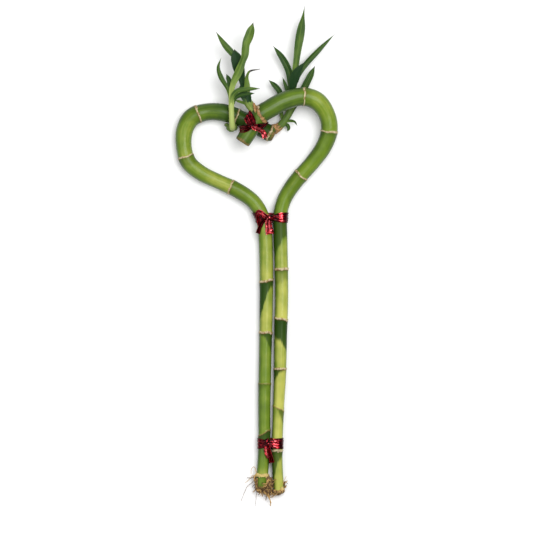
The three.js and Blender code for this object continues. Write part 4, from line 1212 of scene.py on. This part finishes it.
def fold_ribbon(bm, ribbon, looks, layers, seed):
    """A pleated strip of foil from the knot outwards."""
    route = Route(ribbon.points)
    rows = max(14, int(route.length / RIBBON_ROW))
    columns = int(10 * ribbon.folds) + 6
    peak, *slants = ribbon.peak

    def place(corner, u, v):
        across = 2 * u - 1
        v *= 1 - slants[across > peak] * abs(across - peak)
        point, _, side, face = route.frame(v, along(ribbon.twist, v))
        half = along(ribbon.widths, v) / 2 * MM
        curl = Vector((across * half * 420, v * route.length * 420, seed * 7.3))
        phase = (across * ribbon.folds / 2 + 0.18 * noise.noise(curl * 0.5)) * 2 * math.pi
        zigzag = 2 / math.pi * math.asin(clamp(math.sin(phase), -1, 1))
        crease = zigzag * ribbon.depth * clamp(half * 2 / (3.2 * MM), 0.3, 1) / 2
        crumple = 0.30 * noise.noise(curl) + 0.16 * noise.noise(curl * 2.3)
        # painted shade in the pleats' hollows and painted highlight on ribbons that face the light
        corner[layers["fold"]] = 0.55 + 0.4 * zigzag + 0.7 * crumple + 0.3 * ribbon.bright
        corner[layers["glint"]] = ribbon.bright
        corner[layers["dull"]] = ribbon.dull
        ragged = 0.5 * MM * rough(across * 3, seed, 0) * ease(v, 0.85, 1)
        return point + side * (across * half) + face * ((crease + crumple) * MM) + side * ragged

    thicken(bm, surface(bm, columns, rows, place), looks.thickness)


def crush_knot(bm, tie, layers, seed):
    """The crushed knot: a lump of foil with sharp creases."""
    shape = Matrix.LocRotScale(Vector(tie.knot) * MM, None, Vector(tie.knot_size) * MM)
    corners = bmesh.ops.create_icosphere(bm, subdivisions=5, radius=1, matrix=shape)["verts"]
    for corner in corners:
        out = corner.co - shape.translation
        spot = corner.co * 330 + Vector((seed, 0, 0))
        ridge = abs(noise.noise(spot)) * 1.2 - 0.25 + 0.3 * noise.noise(spot * 2.4)
        corner.co += out * 0.42 * ridge
        # painted highlight on the knot's ridges and painted shade between them
        corner[layers["fold"]] = clamp(0.3 + ridge)
        corner[layers["glint"]] = clamp(ridge * 2)
        corner[layers["dull"]] = tie.dull


def tie_foil(name, tie, looks, material, seed):
    bm = bmesh.new()
    layers = float_layers(bm, FOIL_LAYERS)
    wrap_band(bm, tie, looks, layers, seed)
    for number, ribbon in enumerate(tie.ribbons):
        fold_ribbon(bm, ribbon, looks, layers, seed * 5 + number)
    crush_knot(bm, tie, layers, seed)
    finish_piece(bm, name, material, smooth=38)


# ---- roots -----------------------------------------------------------------------------------

THREAD_ROW = 1.1 * MM     # distance between a thread's rows of faces
THREAD_BENDS = 6          # steps of a loose thread
LOWEST_BEND = 0.8         # height of its axis over the table, in millimetres
BARK = 0.25 * MM          # thickness of the ring of bark
BARK_GRID = (72, 12)      # faces round and along the ring of bark, and the matted lump
CORE_GRID = (40, 36)


def grow_thread(bm, points, girths, age, layer, sides=6):
    """One root as a thin closed tube that kinks a little."""
    route = Route(points)
    rows = max(6, int(route.length / THREAD_ROW))
    phase = points[0][0] * 7 + points[-1][1] * 3

    def place(corner, u, v):
        point, _, side, face = route.frame(v)
        kink = Vector((rough(v * 9, phase, 0), rough(v * 9, 0, phase), 0))
        point = point + kink * (0.4 * MM * ease(v, 0, 0.2))
        radius = lerp(*girths, v**0.8) * (1 + 0.25 * rough(v * 30, phase, 5))
        point.z = max(point.z, radius + TABLE_GAP * MM)
        angle = 2 * math.pi * u
        corner[layer] = age
        return point + to_rim(side, face, angle, radius)

    tube(bm, sides, rows, place)


def grow_mat(bm, mat, girth, layer, random):
    """A bunch of fine threads that bend at every step."""
    for _ in range(mat.count):
        start = Vector([value + random.uniform(-1, 1) * room
                        for value, room in zip(mat.foot, mat.spread)])
        heading = Vector(mat.heading).normalized()
        reach = random.uniform(*mat.reach)
        points = [start]
        for _ in range(THREAD_BENDS):
            heading = heading + Vector([random.uniform(-1, 1) for _ in range(3)]) * mat.curl
            heading.normalize()
            step = points[-1] + heading * (reach / THREAD_BENDS)
            step.z = max(step.z, LOWEST_BEND)
            points.append(step)
        width = girth * random.uniform(0.6, 2.1)
        grow_thread(bm, points, (width, width * 0.4), random.uniform(0.05, 0.95), layer)


def bark_collar(bm, cane, reach, crown, layer):
    """Ring of bark and root crowns round a cane's foot."""
    bottom, top = (cane.nearest(cane.centre(0).x / MM, y) for y in reversed(reach))

    def place(corner, u, v):
        angle = 2 * math.pi * u
        spot = ring_spot(angle, 2.4, v * 2)
        scallop = 1.5 * MM * noise.noise(spot * 1.6)
        distance = clamp(lerp(bottom, top, v) + scallop, 0.2 * MM, cane.length)
        height = 0.25 + 0.55 * math.sin(math.pi * v) ** 0.6 * (0.75 + 0.6 * noise.noise(spot * 2.2))
        corner[layer] = clamp(crown + 0.35 + 1.1 * noise.noise(spot * 3) - 0.35 * v, -1, 1)
        return cane.skin(distance, angle, max(height, 0.05) * MM)

    thicken(bm, sleeve(bm, *BARK_GRID, place), BARK)


def grow_core(bm, roots, layer):
    """The matted lump that the threads grow through."""
    route = Route(roots.core)

    def place(corner, u, v):
        point, _, side, face = route.frame(v)
        angle = 2 * math.pi * u
        spot = ring_spot(angle, 1.6, v * 6)
        lumps = 0.78 + 0.45 * noise.noise(spot) + 0.2 * noise.noise(spot * 2.7)
        radius = along(roots.core_radii, v) * MM * lumps
        radius = min(radius, point.z - TABLE_GAP * MM)
        corner[layer] = clamp(0.7 + 0.6 * noise.noise(spot * 1.4))
        return point + to_rim(side, face, angle, radius)

    tube(bm, *CORE_GRID, place)


def grow_roots(name, roots, cane, looks, material):
    bm = bmesh.new()
    age = bm.verts.layers.float.new("age")
    random = Random(roots.seed)
    bark_collar(bm, cane, roots.collar, roots.crown, age)
    grow_core(bm, roots, age)
    for number, (girth, points) in enumerate(roots.placed):
        girths = (looks.girth * girth * 1.3, looks.girth * girth * 0.6)
        shade = -1 if girth > 3 else 0.1 + 0.6 * (number % 2)
        grow_thread(bm, points, girths, shade, age, sides=8)
    for mat in roots.mats:
        grow_mat(bm, mat, looks.girth, age, random)
    finish_piece(bm, name, material)


# ---- dry sheaths -----------------------------------------------------------------------------

SHEATH_ARC = (-14, 150)   # how far round the right cane its sheath lies
CUP_REACH = (0.04, 0.16)  # part of the right shoot's stem that the other sheath clasps
STRIP_GRID = (110, 12)    # faces round and along the strip, its tongue and the cup
TONGUE_GRID = (12, 20)
CUP_GRID = (72, 18)
SHEATH_TONGUE = [(-12.8, 94, 30), (-14.4, 97, 29.4), (-15.6, 100.4, 27.6), (-16.6, 104.8, 25.4)]


def wrap_right_sheath(bm, blade, thickness):
    """Torn papery strip along the right cane's last scar, with a tongue up the middle shoot."""
    cane = CANES["right_cane"]
    scar, lean, _ = cane.scars[-1]

    def place(corner, u, v):
        angle = math.radians(lerp(*SHEATH_ARC, u))
        tooth = abs((u * 13 + 0.5 * rough(u * 9, 0, 0)) % 1 - 0.5) * 2
        frill = bump_at(u - 0.34, 0.24) * (2.4 * tooth + 0.9)
        frayed = (frill + 0.5 + 0.4 * rough(u * 7, 3, 0)) * MM
        ring = scar + lean * math.cos(angle) * cane.girth(scar)
        distance = ring + lerp(0.9 * MM + 0.4 * MM * rough(u * 6, 8, 0), -frayed, v)
        lift = (0.35 + 0.5 * v**2 + 0.25 * rough(u * 8, v * 3, 1)) * MM
        corner[blade] = (u * 16 * MM, v * 5 * MM, 0)
        return cane.skin(distance, angle, lift)

    thicken(bm, surface(bm, *STRIP_GRID, place), thickness)
    tongue = Route(SHEATH_TONGUE)

    def place_tongue(corner, u, v):
        ragged = 0.12 * rough(u * 7, 4, 0)
        point, _, side, face = tongue.frame(v * (0.88 + ragged), 25)
        half = lerp(1.7, 0.9, v) * MM
        corner[blade] = (u * 4 * MM, v * tongue.length, 0)
        return point + side * ((2 * u - 1) * half) - face * (0.35 * half * (2 * u - 1) ** 2)

    thicken(bm, surface(bm, *TONGUE_GRID, place_tongue), thickness)


def wrap_left_sheath(bm, blade, thickness):
    """Papery cup round the foot of the right shoot, torn at its mouth."""
    route = Route(RIGHT_SHOOT.stem)

    def place(corner, u, v):
        angle = 2 * math.pi * u
        tooth = 0.05 * noise.noise(ring_spot(angle, 3, 2))
        mouth = CUP_REACH[1] + tooth + 0.03 * math.sin(angle * 9)
        share = lerp(CUP_REACH[0], mouth, v)
        point, _, side, face = route.frame(share)
        flare = 0.8 * (1 - v) ** 2 + 0.3 * noise.noise(ring_spot(angle, 2, v * 2))
        radius = (along(RIGHT_SHOOT.radii, share) + 0.45 + flare) * MM
        corner[blade] = (angle * 3 * MM, v * 9 * MM, 0)
        return point + to_rim(side, face, angle, radius)

    thicken(bm, sleeve(bm, *CUP_GRID, place), thickness)


# ---- operators -------------------------------------------------------------------------------


class BAMBOO_OT_canes(bpy.types.Operator):
    """Grow the two bent canes"""
    bl_idname = "bamboo.canes"
    bl_label = "Canes"

    def execute(self, context):
        looks = context.scene.bamboo_canes
        material = cane_skin(looks)
        for name, plan in (("left_cane", LEFT_CANE), ("right_cane", RIGHT_CANE)):
            grow_cane(name, plan, looks, material)
        return {"FINISHED"}


class BAMBOO_OT_shoots(bpy.types.Operator):
    """Grow the three leafy shoots"""
    bl_idname = "bamboo.shoots"
    bl_label = "Shoots"

    def execute(self, context):
        looks = context.scene.bamboo_leaves
        material = leaf_skin(looks)
        for name, shoot in (("left_shoot", LEFT_SHOOT), ("middle_shoot", MIDDLE_SHOOT),
                            ("right_shoot", RIGHT_SHOOT)):
            grow_shoot(name, shoot, looks, material)
        return {"FINISHED"}


class BAMBOO_OT_ties(bpy.types.Operator):
    """Tie the canes together with red foil"""
    bl_idname = "bamboo.ties"
    bl_label = "Foil Ties"

    def execute(self, context):
        looks = context.scene.bamboo_foil
        material = red_foil(looks)
        ties = (("top_tie", TOP_TIE), ("middle_tie", MIDDLE_TIE), ("base_tie", BASE_TIE))
        for seed, (name, tie) in enumerate(ties, start=1):
            tie_foil(name, tie, looks, material, seed)
        return {"FINISHED"}


class BAMBOO_OT_roots(bpy.types.Operator):
    """Grow the bare roots at the canes' feet"""
    bl_idname = "bamboo.roots"
    bl_label = "Roots"

    def execute(self, context):
        looks = context.scene.bamboo_roots
        material = root_skin(looks)
        for side, roots in (("left", LEFT_ROOTS), ("right", RIGHT_ROOTS)):
            grow_roots(f"{side}_roots", roots, CANES[f"{side}_cane"], looks, material)
        return {"FINISHED"}


class BAMBOO_OT_sheaths(bpy.types.Operator):
    """Wrap the dry leaf bases round the canes' upper ends"""
    bl_idname = "bamboo.sheaths"
    bl_label = "Dry Sheaths"

    def execute(self, context):
        looks = context.scene.bamboo_sheaths
        material = dry_sheath(looks)
        for name, wrap in (("right_cane_dry_sheath", wrap_right_sheath),
                           ("left_cane_dry_sheath", wrap_left_sheath)):
            bm = bmesh.new()
            wrap(bm, bm.verts.layers.float_vector.new("blade"), looks.thickness)
            finish_piece(bm, name, material)
        return {"FINISHED"}


FLOOR_REACH = 6           # metres from the middle of the floor to its sides
LIGHTS = (                # name, place from the aim, diameter in metres, power in watts
    ("key", (0.4, 0.35, 1.5), 1.2, 25), ("fill", (-0.9, -0.2, 1.4), 1.4, 7),
)
WORLD_LIGHT = 0.38
SENSOR = 36               # width of the camera's sensor in millimetres


class BAMBOO_OT_studio(bpy.types.Operator):
    """Set up the pale floor, the soft light and the camera"""
    bl_idname = "bamboo.studio"
    bl_label = "Studio"

    def execute(self, context):
        looks = context.scene.bamboo_studio
        bm = bmesh.new()
        bmesh.ops.create_grid(bm, x_segments=1, y_segments=1, size=FLOOR_REACH)
        add_mesh(bm, "floor", studio_paper(looks))
        aim = Vector(looks.aim)
        for light in LIGHTS:
            self.hang_light(aim, *light)
        world = bpy.data.worlds.new("studio")
        world.use_nodes = True
        background = world.node_tree.nodes["Background"]
        background.inputs["Color"].default_value = (1, 1, 1, 1)
        background.inputs["Strength"].default_value = WORLD_LIGHT
        context.scene.world = world
        context.scene.view_settings.view_transform = "Standard"
        self.set_camera(context, looks, aim)
        return {"FINISHED"}

    def hang_light(self, aim, name, offset, size, power):
        light = bpy.data.lights.new(name, "AREA")
        light.shape = "DISK"
        light.size = size
        light.energy = power
        lamp = add_object(name, light)
        lamp.location = aim + Vector(offset)
        lamp.rotation_euler = (-Vector(offset)).to_track_quat("-Z", "Y").to_euler()

    def set_camera(self, context, looks, aim):
        data = bpy.data.cameras.new("camera")
        data.lens = looks.lens
        data.sensor_width = SENSOR
        distance = looks.frame_width * looks.lens / SENSOR
        data.clip_start, data.clip_end = 0.01, distance * 20
        camera = add_object("camera", data)
        camera.location = aim + Vector((0, 0, distance))
        context.scene.camera = camera


OPERATORS = (BAMBOO_OT_canes, BAMBOO_OT_shoots, BAMBOO_OT_ties, BAMBOO_OT_roots,
             BAMBOO_OT_sheaths, BAMBOO_OT_studio)


class BAMBOO_PT_panel(bpy.types.Panel):
    """Lists the makers of the plant's pieces with their sizes and colours"""
    bl_idname = "BAMBOO_PT_panel"
    bl_label = "Lucky Bamboo"
    bl_space_type = "VIEW_3D"
    bl_region_type = "UI"
    bl_category = "Bamboo"

    def draw(self, context):
        for operator in OPERATORS:
            self.layout.operator(operator.bl_idname)
        for name, settings in SETTINGS.items():
            box = self.layout.box()
            for field in settings.__annotations__:
                box.prop(getattr(context.scene, name), field)


def register():
    for group in (*SETTINGS.values(), *OPERATORS, BAMBOO_PT_panel):
        bpy.utils.register_class(group)
    for name, settings in SETTINGS.items():
        setattr(bpy.types.Scene, name, bpy.props.PointerProperty(type=settings))


def unregister():
    for name in SETTINGS:
        delattr(bpy.types.Scene, name)
    for group in reversed((*SETTINGS.values(), *OPERATORS, BAMBOO_PT_panel)):
        bpy.utils.unregister_class(group)


def main():
    register()
    for make in (bpy.ops.bamboo.canes, bpy.ops.bamboo.shoots, bpy.ops.bamboo.ties,
                 bpy.ops.bamboo.roots, bpy.ops.bamboo.sheaths, bpy.ops.bamboo.studio):
        make()


if __name__ == "__main__":
    main()
